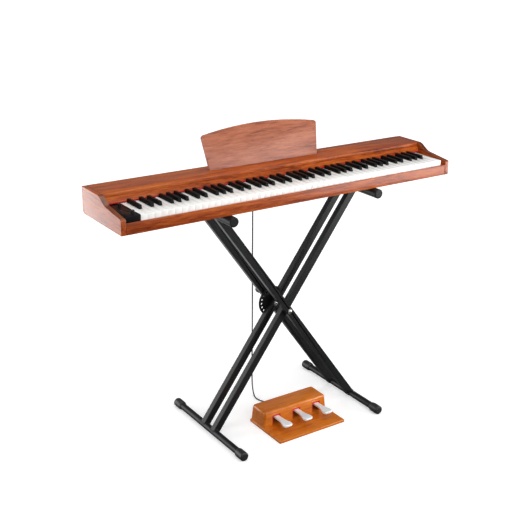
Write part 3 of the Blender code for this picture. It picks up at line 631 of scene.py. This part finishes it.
# ---- keys
keyWork = {
    "pitch": 0.0235, "count": 52, "centre": 0.0174, "slit": 0.0006, "front": 0.0062, "shoulder": 0.055,
    "back": 0.232, "whiteDeep": 0.02, "top": 0.056, "notch": 0.0138, "whiteEdge": 0.0006,
    "blackFront": 0.0572, "blackBack": 0.1398, "blackRise": 0.0115, "blackWidth": 0.0132, "blackDeep": 0.012,
    "blackTopShare": 0.86, "blackSlope": 0.0052, "blackEdge": 0.0017,
    "shift": {"C": -0.00235, "D": 0.00235, "F": -0.00336, "G": 0.0, "A": 0.00336},
    "banks": [(0, 9), (9, 16), (16, 23), (23, 30), (30, 37), (37, 44), (44, 52)],
}
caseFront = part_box("front_rail")[0].y
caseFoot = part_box("front_rail")[0].z
keysLeft = keyWork["centre"] - keyWork["count"] * keyWork["pitch"] / 2


def blackCentre(index):  # middle of the black key right of a white key, where there is one
    letter = "ABCDEFG"[index % 7]
    if index < 0 or index >= keyWork["count"] - 1 or letter not in keyWork["shift"]:
        return None
    return keysLeft + (index + 1) * keyWork["pitch"] + keyWork["shift"][letter]


def modelWhiteKey(index):
    left = keysLeft + index * keyWork["pitch"] + keyWork["slit"] / 2
    right = left + keyWork["pitch"] - keyWork["slit"]
    blackLeft, blackRight = blackCentre(index - 1), blackCentre(index)
    tailLeft = blackLeft + keyWork["notch"] / 2 if blackLeft else left
    tailRight = blackRight - keyWork["notch"] / 2 if blackRight else right
    shoulder = caseFront + keyWork["shoulder"]
    top = caseFoot + keyWork["top"]
    key = addBox(f"whiteKey{index + 1}", (left, caseFront + keyWork["front"], top - keyWork["whiteDeep"]),
                 (right, shoulder, top))
    for cut in (tailLeft, tailRight):
        if left + 0.001 < cut < right - 0.001:
            pickFaces(key, lambda middle, normal: normal.y > 0.9)
            bpy.ops.mesh.bisect(plane_co=(cut, 0, 0), plane_no=(1, 0, 0))
            editOff()
    pickFaces(key, lambda middle, normal: normal.y > 0.9 and tailLeft < middle.x < tailRight)
    bpy.ops.mesh.extrude_region_move(
        TRANSFORM_OT_translate={"value": (0, keyWork["back"] - keyWork["shoulder"], 0)})
    editOff()
    return softEdges(key, keyWork["whiteEdge"], 2, 40)


def modelBlackKey(name, centre):
    half, top = keyWork["blackWidth"] / 2, caseFoot + keyWork["top"] + keyWork["blackRise"]
    front, back = caseFront + keyWork["blackFront"], caseFront + keyWork["blackBack"]
    key = addBox(name, (centre - half, front, caseFoot + keyWork["top"] - keyWork["blackDeep"]),
                 (centre + half, back, top))
    pickFaces(key, lambda middle, normal: normal.z > 0.9)
    bpy.ops.transform.resize(value=(keyWork["blackTopShare"], 1, 1), center_override=(centre, 0, top))
    editOff()
    pickEdges(key, lambda middle, way: abs(way.x) > 0.9 and middle.z > top - 0.001
              and middle.y < front + 0.001)
    bpy.ops.transform.translate(value=(0, keyWork["blackSlope"], 0))
    editOff()
    bevelEdges(key, keyWork["blackEdge"], 4, lambda middle, way: middle.z > top - 0.001
               and middle.y < back - 0.001 or middle.y < front + keyWork["blackSlope"] and abs(way.x) < 0.5)
    return smoothed(key, 45)


def copied(piece, name, shift):
    made = bpy.data.objects.new(name, piece.data.copy())
    made.data.name = name
    made.data.transform(Matrix.Translation(shift))
    bpy.context.scene.collection.objects.link(made)
    return made


def makeKeys():
    models = {}
    for number, (first, last) in enumerate(keyWork["banks"], start=1):
        for index in range(first, last):
            kind = index % 7 if 0 < index < keyWork["count"] - 1 else -1 - index
            if kind not in models:
                models[kind] = (index, modelWhiteKey(index))
                key = models[kind][1]
            else:
                base, model = models[kind]
                key = copied(model, f"whiteKey{index + 1}", ((index - base) * keyWork["pitch"], 0, 0))
            finishPiece(key, f"white_keys_{number}", whiteKeyGloss, [f"white_keys_{number}"])
            centre = blackCentre(index)
            if centre is None or index == last - 1:
                continue
            if "black" not in models:
                models["black"] = (centre, modelBlackKey(f"blackKey{index + 1}", centre))
                key = models["black"][1]
            else:
                base, model = models["black"]
                key = copied(model, f"blackKey{index + 1}", (centre - base, 0, 0))
            finishPiece(key, f"black_keys_{number}", blackKeyGloss, [f"black_keys_{number}"])
    print("keys made")


makeKeys()


# ---- end block and controls
controls = {
    "blockEdge": 0.0011,
    "knobs": {"volume": {"flutes": 28, "markHalf": 0.0005}, "tone": {"flutes": 22, "markHalf": 0.0004}},
    "ticks": {"count": 11, "sweep": 280, "gap": 0.0016, "long": 0.0014, "half": 0.00018, "rise": 0.00008},
    "lamp": {"radius": 0.0012, "shift": (0.0085, 0.004)},
}
inkGrey = plasticFinish("inkGrey", (0.32, 0.32, 0.31), (0.42, 0.42, 0.4), (0.5, 0.6), 1500, 0.00001)
lampLens = plasticFinish("lampLens", (0.16, 0.01, 0.008), (0.24, 0.016, 0.012), (0.12, 0.2), 300, 0.00001,
                         **{"Transmission Weight": 0.25, "Coat Weight": 0.5})


def flutedKnob(name, node, facts, body):
    low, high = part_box(node)
    middle = (low + high) / 2
    radius, top = (high.x - low.x) / 2, high.z
    foot = caseFoot + keyWork["top"] + 0.0003
    knob = addRod(name, radius, (middle.x, middle.y, foot), (middle.x, middle.y, top), 2 * facts["flutes"])
    sides = [face.index for face in knob.data.polygons if abs(face.normal.z) < 0.1]
    pickNothing(knob, "FACE")
    for place in sides[::2]:
        knob.data.polygons[place].select = True
    bpy.ops.object.mode_set(mode="EDIT")
    bpy.ops.mesh.inset(thickness=radius * 0.012, depth=-radius * 0.05, use_individual=True)
    editOff()
    pickFaces(knob, lambda middle, normal: normal.z > 0.9)
    bpy.ops.mesh.inset(thickness=radius * 0.16, depth=0)
    bpy.ops.mesh.inset(thickness=radius * 0.06, depth=-0.0005)
    editOff()
    finishPiece(smoothed(knob, 25), body, knobPlastic, [node])
    mark = addBox(name + "Mark", (middle.x - facts["markHalf"], middle.y + radius * 0.15, top - 0.0006),
                  (middle.x + facts["markHalf"], middle.y + radius * 0.85, top + 0.00012))
    finishPiece(softEdges(mark, 0.0001, 2), body, inkGrey)
    return middle, radius


def makeControls():
    block = softEdges(cadCopy("control_panel", "controlBlock"), controls["blockEdge"], 3, 40)
    finishPiece(block, "piano", blockPlastic, ["control_panel"])
    middle, radius = flutedKnob("volumeKnob", "volume_knob", controls["knobs"]["volume"], "volume_knob")
    flutedKnob("toneKnob", "tone_knob", controls["knobs"]["tone"], "tone_knob")
    face = caseFoot + keyWork["top"]
    ticks, facts = [], controls["ticks"]
    for k in range(facts["count"]):
        angle = math.radians(-facts["sweep"] / 2 + facts["sweep"] * k / (facts["count"] - 1))
        reach = radius + facts["gap"]
        tick = addBox(f"tick{k}", (-facts["half"], reach, face - 0.0001),
                      (facts["half"], reach + facts["long"], face + facts["rise"]))
        tick.data.transform(Matrix.Translation((middle.x, middle.y, 0)) @ Matrix.Rotation(angle, 4, "Z"))
        ticks.append(tick)
    finishPiece(joined(ticks, "volumeTicks"), "piano", inkGrey)

    low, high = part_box("power_button")
    spot, size = (low + high) / 2, (high.x - low.x) / 2
    profile = [(0, low.z), (size, low.z), (size, high.z - 0.0006), (size - 0.0002, high.z - 0.0002),
               (size - 0.0006, high.z), (size * 0.7, high.z - 0.0001), (size * 0.4, high.z - 0.0003),
               (0, high.z - 0.0004)]
    button = turnedPiece("powerButton", profile, (spot.x, spot.y, 0), (0, 0, 1), 40)
    finishPiece(button, "power_button", knobPlastic, ["power_button"])
    lamp = controls["lamp"]
    dome = [(0, face - 0.0006), (lamp["radius"], face - 0.0006), (lamp["radius"], face + 0.0001),
            (lamp["radius"] * 0.7, face + 0.0005), (0, face + 0.0007)]
    x, y = spot.x + lamp["shift"][0], spot.y + lamp["shift"][1]
    lens = turnedPiece("powerLamp", dome, (x, y, 0), (0, 0, 1), 24)
    finishPiece(lens, "piano", lampLens)
    print("controls made")


makeControls()


# ---- folding stand
hub = middleOf("pivot_bolt_rear")
stand = {
    "angle": math.radians(35.87), "legWidth": 0.0265, "legDepth": 0.022, "legRound": 0.0032,
    "tubeRadius": 0.0125, "beadRadius": 0.0017, "sleeveRadius": 0.017,
    "discRadius": 0.057, "holes": 7, "holeCircle": 0.046, "holeStep": math.radians(18.5),
    "holeRadius": 0.0036, "boreRadius": 0.0043, "headRadius": 0.0075, "nutRadius": 0.0072,
    "shaftRadius": 0.004,
    "washerRadius": 0.0125, "pinRadius": 0.003, "pinGap": 0.0005, "notchPlay": 0.002, "notchLong": 0.06,
    "tubeSides": 56, "discSides": 112, "holeSides": 28, "scallops": 8, "scallopCircle": 0.0163,
    "scallopRadius": 0.0036,
}
footHeight, armHeight = middleOf("foot_a").z, middleOf("arm_a").z
frameWay = {"a": -1, "b": 1}  # a leans to the left as it rises, b to the right


def legLines(side):  # direction up the leg, and across it
    way = frameWay[side]
    along = Vector((way * math.sin(stand["angle"]), 0, math.cos(stand["angle"])))
    return along, Vector((along.z, 0, -along.x))


def makeLeg(side, end):
    node = f"leg_{side}_{end}"
    low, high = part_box(node)
    middle = (low + high) / 2
    along, across = legLines(side)
    leg = cadCopy(node, f"leg{side.upper()}{end.capitalize()}")

    def atCorner(spot, way):
        offset = spot - Vector((hub.x, middle.y, hub.z))
        wide, deep = abs(offset.dot(across)), abs(offset.y)
        return (abs(way.dot(along)) > 0.99 and wide > stand["legWidth"] / 2 - 0.0004
                and deep > stand["legDepth"] / 2 - 0.0004)

    bevelEdges(leg, stand["legRound"], 5, atCorner)
    finishPiece(smoothed(leg, 28), "frame_" + side, framePaint, [node])


def weldLine(side, y):  # round the leg where it meets the foot tube
    along, across = legLines(side)
    foot = Vector((hub.x - along.x / along.z * (hub.z - footHeight), y, footHeight))
    half, deep = stand["legWidth"] / 2 - 0.0002, stand["legDepth"] / 2
    corners = [(-half, -deep), (half, -deep), (half, deep), (-half, deep), (-half, -deep)]
    line = []
    for (u0, v0), (u1, v1) in zip(corners, corners[1:]):
        for k in range(8):
            u, v = u0 + (u1 - u0) * k / 8, v0 + (v1 - v0) * k / 8
            rise = math.sqrt(max(0.0, (stand["tubeRadius"] + 0.0006) ** 2 - u * u))
            line.append(foot + across * u + Vector((0, v, 0)) + along * rise)
    return line + [line[0]]


def makeFrame(side):
    body = "frame_" + side
    for end in ("front", "rear"):
        makeLeg(side, end)
        line = weldLine(side, middleOf(f"leg_{side}_{end}").y)
        bead = tubeAlong(f"weld{side.upper()}{end.capitalize()}", line, stand["beadRadius"], 3)
        finishPiece(bead, body, framePaint)

    low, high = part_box("foot_" + side)
    middle = middleOf("foot_" + side)
    tube = addRod(f"foot{side.upper()}", stand["tubeRadius"], (middle.x, low.y, middle.z),
                  (middle.x, high.y, middle.z), stand["tubeSides"])
    finishPiece(smoothed(tube), body, framePaint, ["foot_" + side])
    for end, sign in (("front", -1), ("rear", 1)):
        node = f"foot_cap_{side}_{end}"
        capLow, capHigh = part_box(node)
        tip = capLow.y if sign < 0 else capHigh.y
        cap = turnedPiece(f"footCap{side.upper()}{end.capitalize()}", capProfile(capHigh.y - capLow.y),
                          (middle.x, tip, middle.z), (0, -sign, 0), stand["tubeSides"])
        finishPiece(cap, body, capRubber, [node])

    low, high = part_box("sleeve_" + side)
    middle = middleOf("sleeve_" + side)
    sleeve = turnedPiece(f"armSleeve{side.upper()}", sleeveProfile(high.y - low.y),
                         (middle.x, low.y, armHeight), (0, 1, 0), stand["tubeSides"])
    along = legLines(side)[0]
    play, long = stand["notchPlay"], stand["notchLong"]
    for end in ("front", "rear"):
        centre = Vector((middle.x, middleOf(f"leg_{side}_{end}").y, armHeight)) - long / 2 * along
        size = Vector((stand["legWidth"] + play, stand["legDepth"] + play, long))
        cutBy(sleeve, addBox("notch", centre - size / 2, centre + size / 2,
                             (0, frameWay[side] * stand["angle"], 0)))
    finishPiece(smoothed(sleeve, 35), body, sleeveRubber, ["sleeve_" + side])
    low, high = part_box("arm_" + side)
    arm = addRod(f"arm{side.upper()}", stand["tubeRadius"], (middle.x, low.y, armHeight),
                 (middle.x, high.y, armHeight), stand["tubeSides"])
    finishPiece(smoothed(arm), body, framePaint, ["arm_" + side])


def capProfile(length):  # domed end, plain wall, and a lip that tapers down to the tube
    outer, inner = 0.0165, stand["tubeRadius"] + 0.0001
    dome = [(outer - 0.006 + 0.006 * math.sin(a), 0.006 - 0.006 * math.cos(a))
            for a in (math.radians(15 * k) for k in range(7))]
    return [(0, 0.0)] + dome + [(outer, length - 0.01), (outer - 0.0006, length - 0.007),
                                (inner + 0.0018, length - 0.0014), (inner + 0.001, length - 0.0002),
                                (inner, length), (inner, 0.0073), (0, 0.0072)]


def sleeveProfile(length):
    outer, inner = stand["sleeveRadius"], stand["tubeRadius"] + 0.0003
    nose = [(outer - 0.003 + 0.003 * math.sin(a), 0.003 - 0.003 * math.cos(a))
            for a in (math.radians(18 * k) for k in range(6))]
    return [(0, 0.0006), (0.0105, 0.0006), (0.0112, 0.0)] + nose + [
        (outer, length - 0.0015), (outer - 0.0012, length), (inner, length), (inner, 0.0042), (0, 0.0041)]


def discHoleSpot(number):
    angle = stand["angle"] + number * stand["holeStep"]
    reach = stand["holeCircle"]
    return Vector((hub.x - reach * math.sin(angle), 0, hub.z + reach * math.cos(angle)))


def makeLock():
    low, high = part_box("lock_disc")
    disc = addRod("lockDisc", stand["discRadius"], (hub.x, low.y, hub.z), (hub.x, high.y, hub.z),
                  stand["discSides"])
    spots = [(discHoleSpot(k), stand["holeRadius"]) for k in range(stand["holes"])]
    for spot, radius in spots + [(Vector((hub.x, 0, hub.z)), stand["boreRadius"])]:
        cutBy(disc, addRod("hole", radius, (spot.x, low.y - 0.01, spot.z), (spot.x, high.y + 0.01, spot.z),
                           stand["holeSides"]))
    size, across = stand["discRadius"], legLines("b")[1]
    middle = Vector((hub.x, low.y, hub.z)) + (stand["legWidth"] / 2 + size) * across
    reach = Vector((size, 2 * size, 2 * size))
    cutBy(disc, addBox("beyondLeg", middle - reach, middle + reach, (0, stand["angle"], 0)))
    finishPiece(softEdges(disc, 0.0005, 2, 50), "frame_b", framePaint, ["lock_disc"])

    spot = discHoleSpot(0)
    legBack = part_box("leg_a_rear")[1].y
    grip = [(0, 0.0003), (0.009, 0.0003), (0.009, 0.0075), (0.01, 0.009), (0.013, 0.0125), (0.0139, 0.015),
            (0.014, 0.023), (0.0136, 0.0247), (0.0124, 0.0257), (0.008, 0.026), (0.0, 0.026)]
    knob = turnedPiece("lockKnob", grip, (spot.x, legBack, spot.z), (0, 1, 0), 60)
    for k in range(stand["scallops"]):
        angle, circle = 2 * math.pi * (k + 0.5) / stand["scallops"], stand["scallopCircle"]
        x, z = spot.x + circle * math.cos(angle), spot.z + circle * math.sin(angle)
        cutBy(knob, addRod("scallop", stand["scallopRadius"], (x, legBack + 0.0095, z),
                           (x, legBack + 0.03, z), 24))
    finishPiece(smoothed(knob, 35), "lock_knob", capRubber, ["lock_knob"])
    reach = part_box("lock_disc")[1].y + stand["pinGap"]
    pin = [(0, 0), (0.0017, 0.0001), (0.0026, 0.0006), (stand["pinRadius"], 0.0014),
           (stand["pinRadius"], legBack - reach + 0.0002), (0, legBack - reach + 0.0002)]
    pinPiece = turnedPiece("lockPin", pin, (spot.x, reach, spot.z), (0, 1, 0), 32)
    finishPiece(pinPiece, "lock_knob", boltSteel)


def makePivotBolt(node, name, headFace, nutFace):
    low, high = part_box(node)
    shaft = stand["shaftRadius"]
    head = [(0, low.y), (0.0026, low.y + 0.0002), (0.0052, low.y + 0.0012), (0.0068, low.y + 0.0028),
            (stand["headRadius"], headFace - 0.0022), (stand["headRadius"], headFace - 0.0016),
            (0.0098, headFace - 0.0015), (0.0098, headFace - 0.0003), (shaft, headFace - 0.0003),
            (shaft, high.y - 0.0001), (0, high.y - 0.0001)]
    bolt = turnedPiece(name, head, (hub.x, 0, hub.z), (0, 1, 0), 48)
    washer = turnedPiece(name + "Washer", [(shaft, nutFace + 0.0003), (0.0092, nutFace + 0.0003),
                                           (0.0092, nutFace + 0.0013), (shaft, nutFace + 0.0013)],
                         (hub.x, 0, hub.z), (0, 1, 0), 40)
    nut = addRod(name + "Nut", stand["nutRadius"], (hub.x, nutFace + 0.0014, hub.z),
                 (hub.x, high.y - 0.0006, hub.z), 6)
    softEdges(nut, 0.0006, 2, 40)
    made = joined([bolt, washer, nut], name)
    finishPiece(smoothed(made, 35), "stand_hub", boltSteel, [node])


def makeHub():
    faces = {name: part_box("leg_" + name) for name in ("a_front", "b_front", "b_rear", "a_rear")}
    makePivotBolt("pivot_bolt_front", "pivotBoltFront", faces["a_front"][0].y, faces["b_front"][1].y)
    makePivotBolt("pivot_bolt_rear", "pivotBoltRear", faces["b_rear"][0].y, faces["a_rear"][1].y)
    gap = faces["a_front"][1].y, faces["b_front"][0].y
    ring = [(stand["shaftRadius"] + 0.0002, gap[0] + 0.0002), (stand["washerRadius"], gap[0] + 0.0002),
            (stand["washerRadius"], gap[1] - 0.0002), (stand["shaftRadius"] + 0.0002, gap[1] - 0.0002)]
    spacer = turnedPiece("legSpacer", ring + ring[:1], (hub.x, 0, hub.z), (0, 1, 0), 48)
    finishPiece(spacer, "stand_hub", blockPlastic)


for side in ("a", "b"):
    makeFrame(side)
makeLock()
makeHub()
print("stand made")


# ---- pedal unit
pedalWork = {
    "plateCorner": 0.004, "plateRound": 0.0026, "pedalEdge": 0.0022, "housingRound": 0.01,
    "wall": 0.006, "slotHalf": 0.018, "slotTop": 0.0495,
    "liningSide": 0.003, "liningTop": 0.0052, "liningDeep": 0.0085, "flare": 0.007,
    "root": 0.0104, "stages": [(0.024, 0.0095, 0.008), (0.022, 0.0112, 0.008), (0.016, 0.0166, 0.0084),
                               (0.011, 0.019, 0.0084), (0.008, 0.0168, 0.0078), (0.0045, 0.01, 0.0062)],
}


def makePedalBox():
    low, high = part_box("pedal_base")
    plate = addBox("pedalPlate", low, high)
    bevelEdges(plate, pedalWork["plateCorner"], 4, lambda middle, way: abs(way.z) > 0.9)
    bevelEdges(plate, pedalWork["plateRound"], 4,
               lambda middle, way: abs(way.z) < 0.1 and middle.z > high.z - 0.0004)
    finishPiece(smoothed(plate, 40), "pedal_unit", pedalWood, ["pedal_base"])

    low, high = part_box("pedal_housing")
    housing = addBox("pedalHousing", low, high)
    pickFaces(housing, lambda middle, normal: normal.z > 0.9)
    width = high.x - low.x
    bpy.ops.transform.resize(value=(1 - 2 * pedalWork["flare"] / width, 1, 1),
                             center_override=((low.x + high.x) / 2, low.y, high.z))
    editOff()
    bevelEdges(housing, pedalWork["housingRound"], 7,
               lambda middle, way: abs(way.z) > 0.8 or middle.z > high.z - 0.0004)
    wall = pedalWork["wall"]
    inset, below = Vector((wall + pedalWork["flare"], wall, 0)), Vector((0, 0, 0.02))
    cutBy(housing, addBox("hollow", low + inset - below, high - inset - Vector((0, 0, wall))))
    centres = {}
    for name in ("soft", "sostenuto", "damper"):
        pedalLow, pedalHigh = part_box("pedal_" + name)
        centres[name] = (pedalLow.x + pedalHigh.x) / 2
        half = pedalWork["slotHalf"]
        cutBy(housing, addBox("slot", (centres[name] - half, low.y - 0.01, low.z - 0.01),
                              (centres[name] + half, low.y + wall + 0.0004, pedalWork["slotTop"])))
    finishPiece(smoothed(housing, 30), "pedal_unit", pedalWood, ["pedal_housing"])

    for name, x in centres.items():
        half, top = pedalWork["slotHalf"] - 0.0002, pedalWork["slotTop"] - 0.0002
        lining = addBox(name + "Lining", (x - half, low.y + 0.0002, low.z + 0.0003),
                        (x + half, low.y + pedalWork["liningDeep"], top))
        inner = half - pedalWork["liningSide"]
        cutBy(lining, addBox("opening", (x - inner, low.y - 0.01, low.z - 0.01),
                             (x + inner, low.y + 0.03, top - pedalWork["liningTop"])))
        finishPiece(softEdges(lining, 0.0005, 2, 40), "pedal_unit", redFelt, ["pedal_felt"])
    return centres


def makePedal(name):
    low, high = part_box("pedal_" + name)
    x, housingFront = (low.x + high.x) / 2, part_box("pedal_housing")[0].y
    centre = (low.z + high.z) / 2
    pedal = addBox(name + "Pedal", (x - pedalWork["root"], housingFront + 0.004, low.z),
                   (x + pedalWork["root"], high.y, high.z))
    y, half, thick = housingFront + 0.004, pedalWork["root"], high.z - low.z
    for step, nextHalf, nextThick in pedalWork["stages"]:
        pickFaces(pedal, lambda middle, normal: normal.y < -0.6 and middle.y < y + 0.001)
        bpy.ops.mesh.extrude_region_move(TRANSFORM_OT_translate={"value": (0, -step, 0)})
        y -= step
        bpy.ops.transform.resize(value=(nextHalf / half, 1, nextThick / thick),
                                 center_override=(x, y, centre))
        editOff()
        half, thick = nextHalf, nextThick
    bevelEdges(pedal, pedalWork["pedalEdge"], 3, lambda middle, way: middle.z > centre + 0.002
               and abs(middle.x - x) > 0.008 and abs(way.x) < 0.8 and middle.y < housingFront + 0.005)
    smooth = pedal.modifiers.new("polishedForm", "SUBSURF")
    smooth.levels = 2
    smooth.render_levels = 2
    pickEdges(pedal, lambda middle, way: middle.z < centre and abs(way.z) < 0.3)
    bpy.ops.transform.edge_crease(value=0.7)
    editOff()
    applied(pedal, smooth)
    finishPiece(smoothed(pedal, 50), "pedal_" + name, pedalChromePaintedReflection, ["pedal_" + name])


makePedalBox()
for pedalName in ("soft", "sostenuto", "damper"):
    makePedal(pedalName)
print("pedal unit made")


# ---- rear and underside
rearWork = {
    "plate": {"half": 0.062, "high": 0.02, "thick": 0.0008, "edge": 0.0003, "screwInset": 0.006},
    "sockets": (0.0155, 0.0375, 0.0575, -0.0105), "socketRadius": 0.0033, "nutRadius": 0.0052,
    "grille": {"radius": 0.0285, "rim": 0.004, "bars": 7, "barHalf": 0.0011},
    "screwRadius": 0.0032, "screwInset": 0.018, "underScrews": 8, "backScrews": 6,
    "backScrewRadius": 0.0028, "plateScrewRadius": 0.0024, "backScrewDrop": 0.008,
}


def screwHead(name, centre, direction, radius):
    profile = [(0, -0.001), (radius, -0.001), (radius, 0.0), (radius * 0.8, 0.0005), (radius * 0.3, 0.0007),
               (0, 0.0007)]
    head = turnedPiece(name, profile, centre, direction, 28)
    way = Vector(direction)
    side = Vector((1, 0, 0))
    other = way.cross(side)
    middle = Vector(centre) + way * 0.0006
    for first in (side, other):
        second = way.cross(first)
        reach = first * radius * 0.55 + second * radius * 0.12 + way * 0.0005
        low = Vector(map(min, middle - reach, middle + reach))
        high = Vector(map(max, middle - reach, middle + reach))
        cutBy(head, addBox("drive", low, high))
    return head


def spacedAlong(low, high, count):  # screw places along a board, the end ones set in from its ends
    start, reach = low.x + rearWork["screwInset"], high.x - low.x - 2 * rearWork["screwInset"]
    return [start + reach * k / (count - 1) for k in range(count)]


def makeRear():
    panelLow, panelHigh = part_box("back_panel")
    back, plugZ = panelHigh.y, middleOf("pedal_plug").z
    facts = rearWork["plate"]
    centre = sum(rearWork["sockets"]) / len(rearWork["sockets"])
    plate = addBox("jackPlate", (centre - facts["half"], back + 0.0001, plugZ - facts["high"] / 2),
                   (centre + facts["half"], back + facts["thick"], plugZ + facts["high"] / 2))
    for x in rearWork["sockets"]:
        cutBy(plate, addRod("bore", rearWork["socketRadius"] + 0.0003, (x, back - 0.01, plugZ),
                            (x, back + 0.01, plugZ), 28))
    finishPiece(softEdges(plate, facts["edge"], 2, 40), "piano", framePaint)
    for number, x in enumerate(rearWork["sockets"][1:], start=1):
        rim, bore = rearWork["nutRadius"], rearWork["socketRadius"] - 0.0004
        ring = [(bore, back - 0.005), (bore, back + 0.0016), (bore + 0.0004, back + 0.002),
                (rim - 0.0005, back + 0.002), (rim, back + 0.0016), (rim, back + facts["thick"] + 0.0001),
                (bore + 0.0007, back + facts["thick"] + 0.0001), (bore + 0.0007, back - 0.005),
                (bore, back - 0.005)]
        made = turnedPiece(f"socketRing{number}", ring, (x, 0, plugZ), (0, 1, 0), 40)
        finishPiece(made, "piano", boltSteel)
    reach = facts["half"] - facts["screwInset"]
    heads = [screwHead(f"plateScrew{k}", (centre + sign * reach, back + facts["thick"], plugZ), (0, 1, 0),
                       rearWork["plateScrewRadius"]) for k, sign in enumerate((-1, 1))]

    grille = rearWork["grille"]
    for side in ("left", "right"):
        middle = middleOf("speaker_" + side)
        x, z = middle.x, middle.z
        outer, inner = grille["radius"], grille["radius"] - grille["rim"]
        ring = [(inner, back - 0.002), (inner, back + 0.0006), (inner + 0.0008, back + 0.0013),
                (outer - 0.001, back + 0.0013), (outer, back + 0.0007), (outer, back + 0.0001),
                (inner + 0.001, back + 0.0001), (inner + 0.001, back - 0.002), (inner, back - 0.002)]
        parts = [turnedPiece("grilleRim", ring, (x, 0, z), (0, 1, 0), 64)]
        for k in range(grille["bars"]):
            rise = (k - (grille["bars"] - 1) / 2) * 2 * inner / (grille["bars"] + 1)
            half = math.sqrt(inner ** 2 - rise ** 2) + 0.0004
            bar = addBox(f"bar{k}", (x - half, back - 0.0018, z + rise - grille["barHalf"]),
                         (x + half, back + 0.0004, z + rise + grille["barHalf"]))
            parts.append(softEdges(bar, 0.0004, 2, 40))
        finishPiece(joined(parts, side + "Grille"), "piano", blockPlastic)

    inset, foot = rearWork["screwInset"], caseFoot
    bottomLow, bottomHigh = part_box("bottom_panel")
    for row, y in enumerate((bottomLow.y + inset, bottomHigh.y - inset)):
        for k, x in enumerate(spacedAlong(bottomLow, bottomHigh, rearWork["underScrews"])):
            heads.append(screwHead(f"underScrew{row}{k}", (x, y, foot - 0.0001), (0, 0, -1),
                                   rearWork["screwRadius"]))
    for k, x in enumerate(spacedAlong(panelLow, panelHigh, rearWork["backScrews"])):
        heads.append(screwHead(f"backScrew{k}", (x, back + 0.0001, panelHigh.z - rearWork["backScrewDrop"]),
                               (0, 1, 0), rearWork["backScrewRadius"]))
    finishPiece(joined(heads, "caseScrews"), "piano", boltSteel)
    print("rear and underside made")


makeRear()


# ---- CAD pieces that stay, in their own finishes
def etchedBoard(name):
    finish, tree, shader = newFinish(name, **{"Coat Weight": 0.4, "Coat Roughness": 0.2})
    brick = tree.nodes.new("ShaderNodeTexBrick")
    for socket, number in (("Scale", 1.0), ("Mortar Size", 0.06), ("Brick Width", 0.9), ("Row Height", 0.35)):
        brick.inputs[socket].default_value = number
    brick.inputs["Color1"].default_value = (0.012, 0.08, 0.03, 1)
    brick.inputs["Color2"].default_value = (0.016, 0.11, 0.04, 1)
    brick.inputs["Mortar"].default_value = (0.05, 0.22, 0.08, 1)
    tree.links.new(placed(tree, (180, 180, 180)), brick.inputs["Vector"])
    tree.links.new(brick.outputs["Color"], shader.inputs["Base Color"])
    tree.links.new(spread(tree, noise(tree, (90, 90, 90)), 0.3, 0.5), shader.inputs["Roughness"])
    raised(tree, shader, brick.outputs["Fac"], 0.00005)
    return finish


keptNodes = {
    "bottom_panel": boardPaint, "back_panel": boardPaint, "key_frame": boardPaint, "key_felt": redFelt,
    "speaker_left": sleeveRubber, "speaker_right": sleeveRubber, "pedal_axle": boltSteel,
    "main_board": etchedBoard("etchedBoard"),
}
for node, finish in keptNodes.items():
    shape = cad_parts[node]
    shape.data.materials.clear()
    shape.data.materials.append(finish)
print("kept pieces dressed")

nothingSelected()
bpy.context.view_layer.update()
